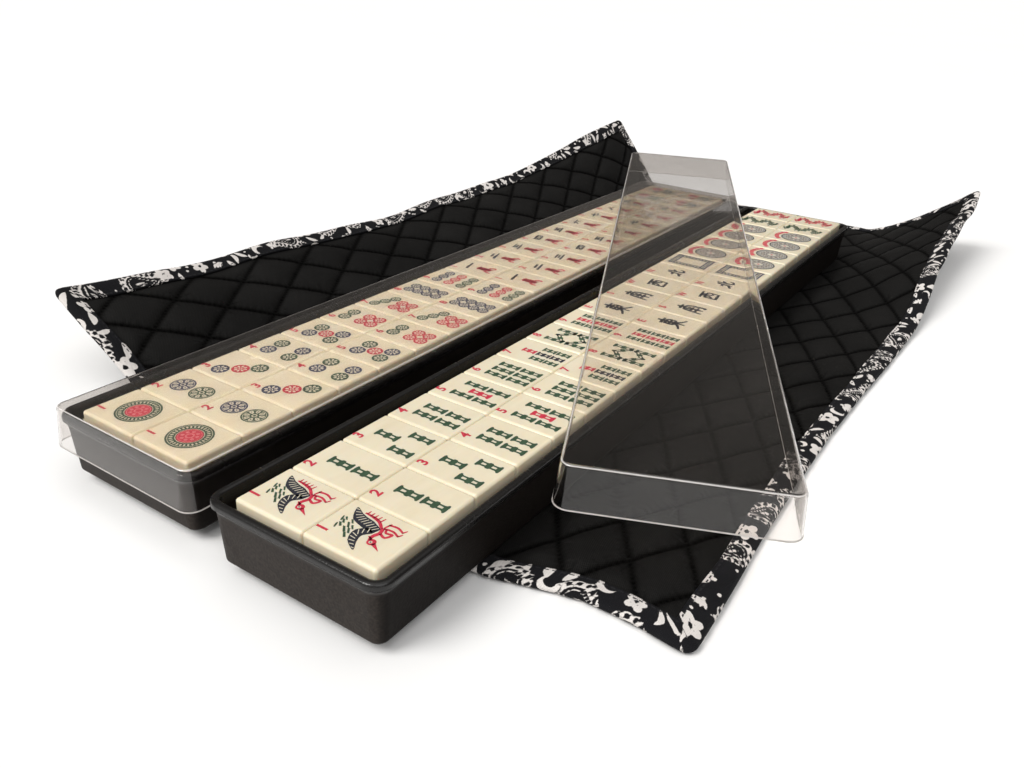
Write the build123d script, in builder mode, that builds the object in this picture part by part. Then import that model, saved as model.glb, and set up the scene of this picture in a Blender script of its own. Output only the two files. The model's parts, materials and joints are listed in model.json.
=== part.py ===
from build123d import *
import math
import os

os.makedirs("parts", exist_ok=True)

# ---------------------------------------------------------------------------
# Travelling mahjong case: a quilted fabric wrap lying open, two long black
# trays of tiles side by side on it, and a thin clear cover for each tray.
# One cover is on its tray, the other lies loose and slantwise over both.
#
# Frame: origin at the middle of the wrap's underside, +X across the trays,
# +Y along them towards the far end, +Z up.  Millimetres.
# ---------------------------------------------------------------------------

# ---- tiles ----------------------------------------------------------------
TILE_LONG = 30.0          # pitch across the tray (X)
TILE_WIDE = 24.0          # pitch along the tray (Y)
TILE_THICK = 13.0         # pitch of the two layers (Z)
TILE_GAP_XY = 0.10        # free play between neighbouring tiles
TILE_GAP_Z = 0.05
TILE_EDGE_R = 1.2
ROWS = 20                 # rows of tiles in one tray, two tiles side by side
BLOCK_A = (-29.2, -77.8)  # middle of the block of tiles in each tray
BLOCK_B = (59.0, -81.5)

# ---- wrap -----------------------------------------------------------------
WRAP_LEN = 535.0
BASE_W = 202.0            # flat middle panel, between the two fold lines
FLAP_W = 64.0             # each flap, fold line to outer edge
WRAP_T = 4.0              # lining + batting + outer cloth
CLOTH_T = 0.8
BIND_W = 10.0             # turned-over binding along every free edge
FOLD_GAP = 0.15           # half the slit that stands for a fold line
SEAM = 0.03               # free play between sewn layers

# ---- trays ----------------------------------------------------------------
TRAY_FOOT = (70.2, 487.2)     # outside size at the floor
TRAY_R = 3.9                  # plan corner radius at the floor
TRAY_Z0 = WRAP_T + 0.2        # underside of the tray
TRAY_FLOOR = 1.4
TRAY_OFF = (-3.0, 2.1)        # tray centre from the centre of its tiles
LIP_OUT = 2.9                 # rim stands this far out of the foot
RIM_TOP = 29.6

TILE_Z0 = TRAY_Z0 + TRAY_FLOOR
TILE_TOP = TILE_Z0 + 2 * TILE_THICK   # 31.6

# ---- clear covers ---------------------------------------------------------
COVER_T = 0.6
COVER_FIT = 0.3
COVER_D = 16.2
COVER_DRAFT = 1.6             # each wall leans in this much towards the top
COVER_W = TRAY_FOOT[0] + 2 * (LIP_OUT + COVER_FIT + COVER_T) + 2.0    # at the open side
COVER_L = TRAY_FOOT[1] + 2 * (LIP_OUT + COVER_FIT + COVER_T) + 2.0
COVER_R = 5.8
COVER_A_TOP = TILE_TOP + 0.3 + COVER_T
LOOSE_YAW = math.radians(24.36)       # the loose cover lies turned this much
LOOSE_TILT = 0.0111                   # and leans this much, high side at -X
LOOSE_AT = (45.68, -22.14)

TRAY_A_AT = (BLOCK_A[0] + TRAY_OFF[0], BLOCK_A[1] + TRAY_OFF[1])
TRAY_B_AT = (BLOCK_B[0] + TRAY_OFF[0], BLOCK_B[1] + TRAY_OFF[1])


def write(builder, name):
    """Label a finished piece and write its STEP."""
    builder.part.label = name
    export_step(builder.part, f"parts/{name}.step")


# ---------------------------------------------------------------------------
# Trays: one wall profile carried round a rounded rectangle, plus the floor.
# The wall leans out a little, flares under the rim and ends in a round bead.
# ---------------------------------------------------------------------------
def make_tray(at):
    cx, cy = at
    with BuildPart() as tray:
        with BuildLine(Plane.XY) as path:
            hx, hy, r = TRAY_FOOT[0] / 2, TRAY_FOOT[1] / 2, TRAY_R
            k = r * (1 - math.sqrt(0.5))
            x0, x1, y0, y1 = cx - hx, cx + hx, cy - hy, cy + hy
            Line((x1, cy), (x1, y1 - r))
            ThreePointArc((x1, y1 - r), (x1 - k, y1 - k), (x1 - r, y1))
            Line((x1 - r, y1), (x0 + r, y1))
            ThreePointArc((x0 + r, y1), (x0 + k, y1 - k), (x0, y1 - r))
            Line((x0, y1 - r), (x0, y0 + r))
            ThreePointArc((x0, y0 + r), (x0 + k, y0 + k), (x0 + r, y0))
            Line((x0 + r, y0), (x1 - r, y0))
            ThreePointArc((x1 - r, y0), (x1 - k, y0 + k), (x1, y0 + r))
            Line((x1, y0 + r), (x1, cy))
        # profile plane: local x points outward, local y points up
        with BuildSketch(Plane(origin=(x1, cy, 0), x_dir=(1, 0, 0), z_dir=(0, -1, 0))):
            with BuildLine():
                Line((-3.6, TRAY_Z0), (-1.8, TRAY_Z0))
                ThreePointArc((-1.8, TRAY_Z0), (-0.5, TRAY_Z0 + 0.55), (0.07, TRAY_Z0 + 1.85))
                Line((0.07, TRAY_Z0 + 1.85), (1.2, 23.4))
                ThreePointArc((1.2, 23.4), (1.70, 25.5), (LIP_OUT, 27.2))
                Line((LIP_OUT, 27.2), (LIP_OUT, RIM_TOP - 1.3))
                ThreePointArc((LIP_OUT, RIM_TOP - 1.3), (LIP_OUT - 0.38, RIM_TOP - 0.38), (LIP_OUT - 1.3, RIM_TOP))
                Line((LIP_OUT - 1.3, RIM_TOP), (0.9, RIM_TOP))
                ThreePointArc((0.9, RIM_TOP), (0.016, RIM_TOP - 0.366), (-0.35, RIM_TOP - 1.25))
                Line((-0.35, RIM_TOP - 1.25), (-1.1, TILE_Z0 + 0.6))
                ThreePointArc((-1.1, TILE_Z0 + 0.6), (-1.276, TILE_Z0 + 0.176), (-1.7, TILE_Z0))
                Line((-1.7, TILE_Z0), (-3.6, TILE_Z0))
                Line((-3.6, TILE_Z0), (-3.6, TRAY_Z0))
            make_face()
        sweep(path=path.wire())
        with BuildSketch(Plane.XY.offset(TRAY_Z0)):
            with Locations((cx, cy)):
                RectangleRounded(TRAY_FOOT[0] - 7.2, TRAY_FOOT[1] - 7.2, TRAY_R - 3.6)
        extrude(amount=TRAY_FLOOR)
    return tray


tray_a = make_tray(TRAY_A_AT)
write(tray_a, "tray_a")
tray_b = make_tray(TRAY_B_AT)
write(tray_b, "tray_b")


# ---------------------------------------------------------------------------
# Clear covers: thin five-sided shells with drafted walls, open below.
# ---------------------------------------------------------------------------
def make_cover(top):
    draft = math.degrees(math.atan(COVER_DRAFT / COVER_D))
    with BuildPart() as cover:
        with BuildSketch(top.offset(-COVER_D)):
            RectangleRounded(COVER_W, COVER_L, COVER_R)
        extrude(amount=COVER_D, taper=draft)
        edges = [e for e in cover.edges() if abs(top.to_local_coords(e.center()).Z) < 0.01]
        fillet(edges, radius=1.3)
        with BuildSketch(top.offset(-COVER_D)) as hollow:
            RectangleRounded(COVER_W - 2 * COVER_T, COVER_L - 2 * COVER_T, COVER_R - COVER_T)
        extrude(amount=COVER_D - COVER_T, taper=draft, mode=Mode.SUBTRACT)
        inner = [e for e in cover.edges()
                 if abs(top.to_local_coords(e.center()).Z + COVER_T) < 0.01]
        fillet(inner, radius=0.8)
    return cover


cover_a_plane = Plane(origin=(TRAY_A_AT[0], TRAY_A_AT[1], COVER_A_TOP), x_dir=(1, 0, 0), z_dir=(0, 0, 1))
cover_a = make_cover(cover_a_plane)
write(cover_a, "cover_a")

# The loose cover rests on the tile edge of one tray and on the fitted cover
# of the other, so its rim lies in a plane that rises slowly towards -X.
rest_edge_x = BLOCK_B[0] + TILE_LONG
loose_rim_z = TILE_TOP + 0.3 + (rest_edge_x - LOOSE_AT[0]) * LOOSE_TILT
ct, st = math.cos(LOOSE_TILT), math.sin(LOOSE_TILT)
cover_b_plane = Plane(
    origin=(LOOSE_AT[0] + COVER_D * st, LOOSE_AT[1], loose_rim_z + COVER_D * ct),
    x_dir=(ct * math.cos(LOOSE_YAW), math.sin(LOOSE_YAW), -st * math.cos(LOOSE_YAW)),
    z_dir=(st, 0, ct),
)
cover_b = make_cover(cover_b_plane)
write(cover_b, "cover_b")


# ---------------------------------------------------------------------------
# Tiles: every row holds two tiles side by side in two layers, all alike.
# ---------------------------------------------------------------------------
def make_tiles(block, rows):
    with BuildPart() as tiles:
        spots = [
            (block[0] + sx * TILE_LONG / 2,
             block[1] + (row - (ROWS - 1) / 2) * TILE_WIDE,
             TILE_Z0 + TILE_GAP_Z + TILE_THICK * (layer + 0.5) - TILE_GAP_Z / 2)
            for row in rows for sx in (-1, 1) for layer in (0, 1)
        ]
        with Locations(*spots):
            Box(TILE_LONG - TILE_GAP_XY, TILE_WIDE - TILE_GAP_XY, TILE_THICK - TILE_GAP_Z)
        fillet(tiles.edges(), radius=TILE_EDGE_R)
    return tiles


TRAY_A_ROWS = [("dot_%d" % (i + 1), [i]) for i in range(9)]
TRAY_A_ROWS += [("crak_%d" % (i + 1), [9 + i]) for i in range(9)]
TRAY_A_ROWS += [("flower_tiles", [18, 19])]
TRAY_B_ROWS = [("bam_%d" % (i + 1), [i]) for i in range(9)]
TRAY_B_ROWS += [("wind_east", [9]), ("wind_south", [10]), ("wind_west", [11]), ("wind_north", [12])]
TRAY_B_ROWS += [("dragon_white", [13]), ("joker_tiles", [14, 15, 16, 17])]
TRAY_B_ROWS += [("dragon_green", [18]), ("dragon_red", [19])]

for name, rows in TRAY_A_ROWS:
    write(make_tiles(BLOCK_A, rows), name)
for name, rows in TRAY_B_ROWS:
    write(make_tiles(BLOCK_B, rows), name)


# ---------------------------------------------------------------------------
# Wrap, middle panel: lining, batting and outer cloth, flat, with a binding
# turned over the near and the far edge.
# ---------------------------------------------------------------------------
HB = BASE_W / 2 - FOLD_GAP
HL = WRAP_LEN / 2


def flat_panel(z0, z1, y0, y1):
    with BuildPart() as panel:
        with BuildSketch(Plane.XY.offset(z0)):
            with Locations((0, (y0 + y1) / 2)):
                Rectangle(2 * HB, y1 - y0)
        extrude(amount=z1 - z0)
    return panel


wrap_base_lining = flat_panel(WRAP_T - CLOTH_T, WRAP_T, -(HL - BIND_W - SEAM), HL - BIND_W - SEAM)
write(wrap_base_lining, "wrap_base_lining")
wrap_base_batting = flat_panel(CLOTH_T + SEAM, WRAP_T - CLOTH_T - SEAM,
                               -(HL - CLOTH_T - SEAM), HL - CLOTH_T - SEAM)
write(wrap_base_batting, "wrap_base_batting")
wrap_base_outer = flat_panel(0, CLOTH_T, -(HL - BIND_W - SEAM), HL - BIND_W - SEAM)
write(wrap_base_outer, "wrap_base_outer")


def base_binding(side):
    with BuildPart() as binding:
        with BuildSketch(Plane.YZ.offset(-HB)):
            e, w, c = side * HL, side * (HL - BIND_W), side * (HL - CLOTH_T)
            Polygon((w, 0), (e, 0), (e, WRAP_T), (w, WRAP_T), (w, WRAP_T - CLOTH_T),
                    (c, WRAP_T - CLOTH_T), (c, CLOTH_T), (w, CLOTH_T), align=None)
        extrude(amount=2 * HB)
    return binding


wrap_base_binding_near = base_binding(-1)
write(wrap_base_binding_near, "wrap_base_binding_near")
wrap_base_binding_far = base_binding(1)
write(wrap_base_binding_far, "wrap_base_binding_far")

# ---------------------------------------------------------------------------
# Flaps.  Each is a strip of the same sandwich, described by sections across
# it at stations along Y.  The left flap leans up and outward, lower in the
# middle of its length; the right flap lies flat and curls up at its far end.
# ---------------------------------------------------------------------------
LEFT_LEAN = [(-267.5, 38.0), (-188.0, 30.5), (-113.0, 27.0), (-22.0, 24.0),
             (67.0, 26.0), (176.0, 37.0), (225.0, 48.0), (267.5, 50.0)]
RIGHT_RISE = [(-267.5, 0.0), (40.0, 0.0), (80.0, 6.0), (125.0, 21.0),
              (160.0, 28.0), (190.0, 31.0), (240.0, 36.0), (267.5, 41.0)]


def left_section(lean):
    a = math.radians(lean)
    d = (-math.cos(a), math.sin(a))
    n = (math.sin(a), math.cos(a))
    top = [(0.0, (-BASE_W / 2, WRAP_T)),
           (FLAP_W, (-BASE_W / 2 + FLAP_W * d[0], WRAP_T + FLAP_W * d[1]))]
    return top, [n, n]


def right_section(rise):
    x0 = BASE_W / 2
    a = math.atan2(rise, FLAP_W)
    n = (-math.sin(a), math.cos(a))
    return [(0.0, (x0, WRAP_T)), (FLAP_W, (x0 + FLAP_W, WRAP_T + rise))], [n, n]


LEFT_KEYS = [(y,) + left_section(v) for y, v in LEFT_LEAN]
RIGHT_KEYS = [(y,) + right_section(v) for y, v in RIGHT_RISE]


def flap_point(section, t, s):
    """Point at distance t from the fold and height s from the top surface."""
    top, normals = section
    for (ta, pa), (tb, pb), na, nb in zip(top[:-1], top[1:], normals[:-1], normals[1:]):
        if t <= tb + 1e-9:
            f = (t - ta) / (tb - ta)
            x = pa[0] + f * (pb[0] - pa[0]) + s * (na[0] + f * (nb[0] - na[0]))
            z = pa[1] + f * (pb[1] - pa[1]) + s * (na[1] + f * (nb[1] - na[1]))
            return x, z
    raise ValueError(t)


def section_at(keys, y, loop):
    """The loop of (t, s) points as (x, z), straight between the stations."""
    for ka, kb in zip(keys[:-1], keys[1:]):
        if ka[0] - 1e-9 <= y <= kb[0] + 1e-9:
            f = (y - ka[0]) / (kb[0] - ka[0])
            a = [flap_point(ka[1:], t, s) for t, s in loop]
            b = [flap_point(kb[1:], t, s) for t, s in loop]
            return [(p[0] + f * (q[0] - p[0]), p[1] + f * (q[1] - p[1])) for p, q in zip(a, b)]
    raise ValueError(y)


def band(keys, t0, t1, s0, s1):
    """A strip of the section, following the bend of the flap."""
    breaks = [t for t, _ in keys[0][1] if t0 + 1e-6 < t < t1 - 1e-6]
    ts = [t0] + breaks + [t1]
    return [(t, s1) for t in ts] + [(t, s0) for t in reversed(ts)]


def flap_loft(keys, loop, y0, y1):
    ys = [y0] + [k[0] for k in keys if y0 + 1e-6 < k[0] < y1 - 1e-6] + [y1]
    with BuildPart() as strip:
        for y in ys:
            with BuildSketch(Plane.XZ.offset(-y)):
                Polygon(*section_at(keys, y, loop), align=None)
        loft(ruled=True)
    return strip


def flap_end_binding(keys, side):
    t0, t1 = FOLD_GAP, FLAP_W - BIND_W - SEAM
    ya, yb, yc = side * HL, side * (HL - BIND_W), side * (HL - CLOTH_T)
    with BuildPart() as binding:
        for y in sorted((ya, yb)):
            with BuildSketch(Plane.XZ.offset(-y)):
                Polygon(*section_at(keys, y, band(keys, t0, t1, -WRAP_T, 0)), align=None)
        loft(ruled=True)
        slot = band(keys, t0, t1, CLOTH_T - WRAP_T, -CLOTH_T)
        # a little wider than the strip at both sides, so that the slot is open
        far_t = t1 + SEAM / 2
        slot = [((t - FOLD_GAP) if abs(t - t0) < 1e-9 else (far_t if abs(t - t1) < 1e-9 else t), s)
                for t, s in slot]
        for y in sorted((yb - side * 0.5, yc)):
            with BuildSketch(Plane.XZ.offset(-y)):
                Polygon(*section_at(keys, y, slot), align=None)
        loft(ruled=True, mode=Mode.SUBTRACT)
    return binding


for side_name, keys in (("left", LEFT_KEYS), ("right", RIGHT_KEYS)):
    t_in = FLAP_W - BIND_W - SEAM
    lining = flap_loft(keys, band(keys, FOLD_GAP, t_in, -CLOTH_T, 0), -(HL - BIND_W - SEAM), HL - BIND_W - SEAM)
    write(lining, f"{side_name}_flap_lining")
    batting = flap_loft(keys, band(keys, FOLD_GAP, FLAP_W - CLOTH_T - SEAM, CLOTH_T - WRAP_T + SEAM, -CLOTH_T - SEAM),
                        -(HL - CLOTH_T - SEAM), HL - CLOTH_T - SEAM)
    write(batting, f"{side_name}_flap_batting")
    outer = flap_loft(keys, band(keys, FOLD_GAP, t_in, -WRAP_T, CLOTH_T - WRAP_T), -(HL - BIND_W - SEAM), HL - BIND_W - SEAM)
    write(outer, f"{side_name}_flap_outer")
    t_b, t_e, t_c = FLAP_W - BIND_W, FLAP_W, FLAP_W - CLOTH_T
    channel = [(t_b, 0), (t_e, 0), (t_e, -WRAP_T), (t_b, -WRAP_T), (t_b, CLOTH_T - WRAP_T),
               (t_c, CLOTH_T - WRAP_T), (t_c, -CLOTH_T), (t_b, -CLOTH_T)]
    side_binding = flap_loft(keys, channel, -HL, HL)
    write(side_binding, f"{side_name}_flap_binding_side")
    near_binding = flap_end_binding(keys, -1)
    write(near_binding, f"{side_name}_flap_binding_near")
    far_binding = flap_end_binding(keys, 1)
    write(far_binding, f"{side_name}_flap_binding_far")
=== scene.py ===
import json
import math

import bpy
import numpy as np
from mathutils import Matrix, Vector
from mathutils.geometry import tessellate_polygon


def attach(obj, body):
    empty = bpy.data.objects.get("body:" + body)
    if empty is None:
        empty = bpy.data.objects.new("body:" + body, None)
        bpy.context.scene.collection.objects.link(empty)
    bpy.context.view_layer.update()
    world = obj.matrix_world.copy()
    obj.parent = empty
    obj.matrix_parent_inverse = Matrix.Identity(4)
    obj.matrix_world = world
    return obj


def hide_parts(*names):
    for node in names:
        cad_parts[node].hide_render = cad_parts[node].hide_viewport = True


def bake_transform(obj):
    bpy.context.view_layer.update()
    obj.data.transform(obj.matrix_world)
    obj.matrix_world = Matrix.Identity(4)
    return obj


# Travelling mahjong case: an open quilted wrap, two long black trays of tiles, two clear covers.
# Everything is worked out in millimetres and written to the meshes in metres, in the row frame.

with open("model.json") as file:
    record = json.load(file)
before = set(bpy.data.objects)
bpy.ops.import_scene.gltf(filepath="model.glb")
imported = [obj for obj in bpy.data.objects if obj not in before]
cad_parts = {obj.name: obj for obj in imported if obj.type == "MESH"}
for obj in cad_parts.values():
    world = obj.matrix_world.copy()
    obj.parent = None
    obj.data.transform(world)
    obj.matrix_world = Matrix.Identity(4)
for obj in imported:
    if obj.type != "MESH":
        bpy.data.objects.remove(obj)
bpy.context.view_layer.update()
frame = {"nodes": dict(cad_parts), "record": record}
MM = 0.001

# ---------------------------------------------------------------- camera
cam_data = bpy.data.cameras.new("camera")
cam = bpy.data.objects.new("camera", cam_data)
bpy.context.scene.collection.objects.link(cam)
cam_data.sensor_width = 36.0
cam_data.lens = 866.6 / 1024 * 36.0
cam_data.clip_start, cam_data.clip_end = 0.01, 60.0
right = Vector((0.82756, 0.55963, 0.04423)).normalized()
forward = Vector((-0.48575, 0.75334, -0.44331)).normalized()
up = right.cross(forward).normalized()
forward = up.cross(right).normalized()
cam.matrix_world = Matrix.Translation((0.22522, -0.46656, 0.18963)) @ Matrix((
    (right.x, up.x, -forward.x, 0), (right.y, up.y, -forward.y, 0), (right.z, up.z, -forward.z, 0), (0, 0, 0, 1)))
bpy.context.scene.camera = cam


# ---------------------------------------------------------------- small tools
def mesh_object(name, verts, faces, mats=(), face_mat=None, smooth=True):
    """verts in millimetres; faces a list of index lists or an (n, 4) array."""
    me = bpy.data.meshes.new(name)
    me.from_pydata((np.asarray(verts, float) * MM).tolist(), [], [list(map(int, f)) for f in faces])
    for m in mats:
        me.materials.append(m)
    if face_mat is not None:
        me.polygons.foreach_set("material_index", np.asarray(face_mat, np.int32))
    if smooth:
        me.polygons.foreach_set("use_smooth", np.ones(len(me.polygons), bool))
    me.update()
    ob = bpy.data.objects.new(name, me)
    bpy.context.scene.collection.objects.link(ob)
    return ob


def give(ob, name, values):
    a = ob.data.attributes.new(name, "FLOAT", "POINT")
    a.data.foreach_set("value", np.asarray(values, np.float32).ravel())


class Net:
    """A short way to write a node material."""

    def __init__(self, name):
        self.mat = bpy.data.materials.new(name)
        self.mat.use_nodes = True
        self.t = self.mat.node_tree
        self.t.nodes.clear()
        self.out = self.t.nodes.new("ShaderNodeOutputMaterial")

    def node(self, kind, **sets):
        n = self.t.nodes.new(kind)
        for k, v in sets.items():
            if k.startswith("p_"):
                setattr(n, k[2:], v)
        for k, v in sets.items():
            if k.startswith("p_"):
                continue
            key = int(k[1:]) if k[0] == "i" and k[1:].isdigit() else k.replace("_", " ")
            self.put(n.inputs[key], v)
        return n

    def put(self, socket, v):
        if isinstance(v, bpy.types.NodeSocket):
            self.t.links.new(v, socket)
        elif isinstance(v, (tuple, list)) and socket.type == "RGBA" and len(v) == 3:
            socket.default_value = (*v, 1.0)
        else:
            socket.default_value = v

    def math(self, op, a, b=0.0, clamp=False):
        n = self.t.nodes.new("ShaderNodeMath")
        n.operation, n.use_clamp = op, clamp
        self.put(n.inputs[0], a)
        self.put(n.inputs[1], b)
        return n.outputs[0]

    def mix(self, f, a, b):
        n = self.t.nodes.new("ShaderNodeMix")
        n.data_type = "RGBA"
        self.put(n.inputs[0], f)
        self.put(n.inputs[6], a)
        self.put(n.inputs[7], b)
        return n.outputs[2]

    def ramp(self, v, stops):
        n = self.t.nodes.new("ShaderNodeMapRange")
        n.clamp = True
        self.put(n.inputs[0], v)
        for i, s in enumerate(stops):
            n.inputs[1 + i].default_value = s
        return n.outputs[0]

    def coords(self, scale=(1, 1, 1), rot=(0, 0, 0)):
        c = self.t.nodes.new("ShaderNodeTexCoord")
        m = self.t.nodes.new("ShaderNodeMapping")
        self.t.links.new(c.outputs["Object"], m.inputs["Vector"])
        m.inputs["Scale"].default_value = scale
        m.inputs["Rotation"].default_value = rot
        return m.outputs[0]

    def noise(self, vec, scale, detail=3.0, rough=0.55, dist=0.0):
        n = self.t.nodes.new("ShaderNodeTexNoise")
        self.put(n.inputs["Vector"], vec)
        n.inputs["Scale"].default_value = scale
        n.inputs["Detail"].default_value = detail
        n.inputs["Roughness"].default_value = rough
        n.inputs["Distortion"].default_value = dist
        return n.outputs[0]

    def attr(self, name):
        n = self.t.nodes.new("ShaderNodeAttribute")
        n.attribute_name = name
        return n.outputs["Fac"]

    def bump(self, height, strength, distance, normal=None):
        n = self.t.nodes.new("ShaderNodeBump")
        n.inputs["Strength"].default_value = strength
        n.inputs["Distance"].default_value = distance
        self.put(n.inputs["Height"], height)
        if normal is not None:
            self.put(n.inputs["Normal"], normal)
        return n.outputs[0]

    def principled(self, **sets):
        p = self.node("ShaderNodeBsdfPrincipled", **sets)
        self.t.links.new(p.outputs[0], self.out.inputs[0])
        return p


# ---------------------------------------------------------------- materials
def weave(g, vec, pitch):
    """Plain weave: two crossed sets of threads, pitch in metres."""
    s = g.node("ShaderNodeSeparateXYZ", Vector=vec)
    wx = g.math("SINE", g.math("MULTIPLY", s.outputs[0], 2 * math.pi / pitch))
    wy = g.math("SINE", g.math("MULTIPLY", s.outputs[1], 2 * math.pi / pitch))
    return g.math("MULTIPLY", wx, wy)


def black_cotton(name, base, sheen, seams=True):
    """Black cloth with a fine weave; along the stitched lines it is puckered, shows its darker thread, and carries
    painted shade in the grooves beside the stitching.
    """
    g = Net(name)
    vec = g.coords()
    big = g.noise(vec, 22.0, 3.0)
    col = g.mix(g.ramp(big, (0.35, 0.7, 0.0, 1.0)), tuple(c * 0.75 for c in base), tuple(c * 1.35 for c in base))
    h = g.math("MULTIPLY", weave(g, vec, 0.0009), 0.10)
    crumple = g.noise(vec, 260.0, 3.0, 0.6)
    h = g.math("ADD", h, g.math("MULTIPLY", crumple, 0.6))
    if seams:
        d = g.attr("seam")          # distance from the nearest stitched line, mm
        along = g.attr("along")     # distance along it, mm
        near = g.ramp(d, (0.3, 5.5, 1.0, 0.0))
        shift = g.math("MULTIPLY", g.noise(vec, 120.0, 2.0), 9.0)
        ripple = g.math("SINE", g.math("ADD", g.math("MULTIPLY", along, 2 * math.pi / 3.4), shift))
        pucker = g.math("MULTIPLY", g.math("MULTIPLY", ripple, near), 0.22)
        h = g.math("ADD", h, pucker)
        line = g.ramp(d, (0.25, 0.9, 1.0, 0.0))
        dash = g.ramp(g.math("SINE", g.math("MULTIPLY", along, 2 * math.pi / 2.6)), (-0.35, 0.0, 0.0, 1.0))
        thread = g.math("MULTIPLY", line, dash)
        # painted shade: the cloth is darkened within a few mm of each stitched line, and darker still right at the
        # line, for the shade in the quilting grooves
        col = g.mix(g.math("MULTIPLY", near, 0.35), col, tuple(c * 0.35 for c in base))
        col = g.mix(g.ramp(d, (0.35, 1.2, 0.9, 0.0)), col, tuple(c * 0.15 for c in base))
        col = g.mix(thread, col, tuple(c * 0.6 for c in base))
        spec = g.ramp(d, (0.4, 2.2, 0.0, 0.10))
    else:
        spec = 0.10
        h = g.math("ADD", h, g.math("MULTIPLY", thread, 0.9))
    n = g.bump(h, 0.8, 0.0004)
    g.principled(Base_Color=col, Roughness=0.62, Normal=n, Sheen_Weight=sheen, Sheen_Roughness=0.45, Specular_IOR_Level=spec)
    return g.mat


def bandana(name, seams=False):
    """Black cotton printed in white: the 'print' attribute is the distance from the edge of the white, mm."""
    g = Net(name)
    vec = g.coords()
    d = g.attr("print")
    ragged = g.math("MULTIPLY", g.math("SUBTRACT", g.noise(vec, 900.0, 2.0), 0.5), 0.35)
    white = g.ramp(g.math("ADD", d, ragged), (-0.09, 0.09, 1.0, 0.0))
    tone = g.noise(vec, 60.0, 3.0)
    black = g.mix(tone, (0.006, 0.006, 0.0075), (0.011, 0.011, 0.013))
    ink = g.mix(tone, (0.70, 0.66, 0.63), (0.84, 0.80, 0.77))
    w = weave(g, vec, 0.0007)
    ink = g.mix(g.ramp(w, (-1.0, 1.0, 0.10, 0.0)), ink, (0.35, 0.33, 0.32))
    col = g.mix(white, black, ink)
    h = g.math("ADD", g.math("MULTIPLY", w, 0.35), g.math("MULTIPLY", g.noise(vec, 240.0, 3.0), 0.7))
    if seams:
        s = g.attr("seam")
        near = g.ramp(s, (0.3, 5.0, 1.0, 0.0))
        ripple = g.math("SINE", g.math("ADD", g.math("MULTIPLY", g.attr("along"), 2 * math.pi / 3.4), g.math("MULTIPLY", g.noise(vec, 120.0, 2.0), 9.0)))
        h = g.math("ADD", h, g.math("MULTIPLY", g.math("MULTIPLY", ripple, near), 0.35))
        # painted shade: a thin dark line along each stitched line, for the shade in its groove
        line = g.ramp(s, (0.25, 0.8, 0.7, 0.0))
        col = g.mix(line, col, (0.006, 0.006, 0.007))
    else:
        e = g.attr("hem")           # distance from the row of stitches by the inner edge, mm
        line = g.ramp(g.math("ABSOLUTE", e), (0.15, 0.45, 1.0, 0.0))
        dash = g.ramp(g.math("SINE", g.math("MULTIPLY", g.attr("along"), 2 * math.pi / 2.8)), (-0.5, -0.2, 0.0, 1.0))
        thread = g.math("MULTIPLY", line, dash)
        col = g.mix(thread, col, (0.02, 0.02, 0.022))
        dip = g.ramp(g.math("ABSOLUTE", e), (0.0, 1.6, -1.3, 0.0))
        h = g.math("ADD", h, g.math("ADD", g.math("MULTIPLY", thread, 0.9), dip))
    n = g.bump(h, 0.8, 0.0004)
    g.principled(Base_Color=col, Roughness=0.68, Normal=n, Sheen_Weight=0.01, Sheen_Roughness=0.5, Specular_IOR_Level=0.09)
    return g.mat


def tray_plastic():
    """Black vacuum-formed sheet: bead and inside smooth and shiny, outer walls dull, finely pebbled and brownish; the
    long side walls carry painted shade, much darker than the end walls.
    """
    g = Net("tray_plastic")
    vec = g.coords()
    geo = g.t.nodes.new("ShaderNodeNewGeometry")
    nz = g.node("ShaderNodeSeparateXYZ", Vector=geo.outputs["Normal"]).outputs[2]
    pz = g.node("ShaderNodeSeparateXYZ", Vector=vec).outputs[2]
    wall = g.math("MULTIPLY", g.ramp(g.math("ABSOLUTE", nz), (0.30, 0.75, 1.0, 0.0)), g.ramp(pz, (0.0245, 0.0275, 1.0, 0.0)))
    grain = g.noise(vec, 1500.0, 2.0, 0.5)
    pebble = g.noise(vec, 1000.0, 3.0, 0.62)
    cloud = g.noise(vec, 35.0, 4.0, 0.6)
    scuff = g.noise(g.coords((1.0, 7.0, 1.0)), 90.0, 5.0, 0.7)
    speck = g.ramp(pebble, (0.40, 0.66, 0.0, 1.0))
    dull = g.mix(cloud, (0.0155, 0.0125, 0.0108), (0.0225, 0.0182, 0.0158))
    dull = g.mix(g.math("MULTIPLY", speck, 0.55), dull, (0.046, 0.036, 0.030))
    # painted shade: the long side walls, facing ±X, are pulled almost to black for the shade they stand in; the same
    # facing also lowers their specular further down
    nx = g.math("ABSOLUTE", g.node("ShaderNodeSeparateXYZ", Vector=geo.outputs["Normal"]).outputs[0])
    dull = g.mix(g.ramp(nx, (0.55, 0.95, 0.0, 0.75)), dull, (0.0040, 0.0034, 0.0031))
    col = g.mix(wall, (0.0075, 0.0070, 0.0068), dull)
    col = g.mix(g.ramp(scuff, (0.64, 0.84, 0.0, 0.30)), col, (0.055, 0.048, 0.042))
    rough = g.math("ADD", g.math("MULTIPLY", wall, 0.27), g.math("MULTIPLY", cloud, 0.12))
    rough = g.math("ADD", rough, g.math("MULTIPLY", g.ramp(scuff, (0.5, 0.8, 0.0, 1.0)), 0.10))
    rough = g.math("ADD", rough, 0.17)
    n = g.bump(g.math("ADD", grain, g.math("MULTIPLY", g.math("MULTIPLY", pebble, wall), 1.6)), 0.40, 0.00014)
    spec = g.math("SUBTRACT", 0.42, g.math("MULTIPLY", wall, g.ramp(nx, (0.55, 0.95, 0.30, 0.37))))
    g.principled(Base_Color=col, Roughness=rough, Normal=n, Specular_IOR_Level=spec)
    return g.mat


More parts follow.
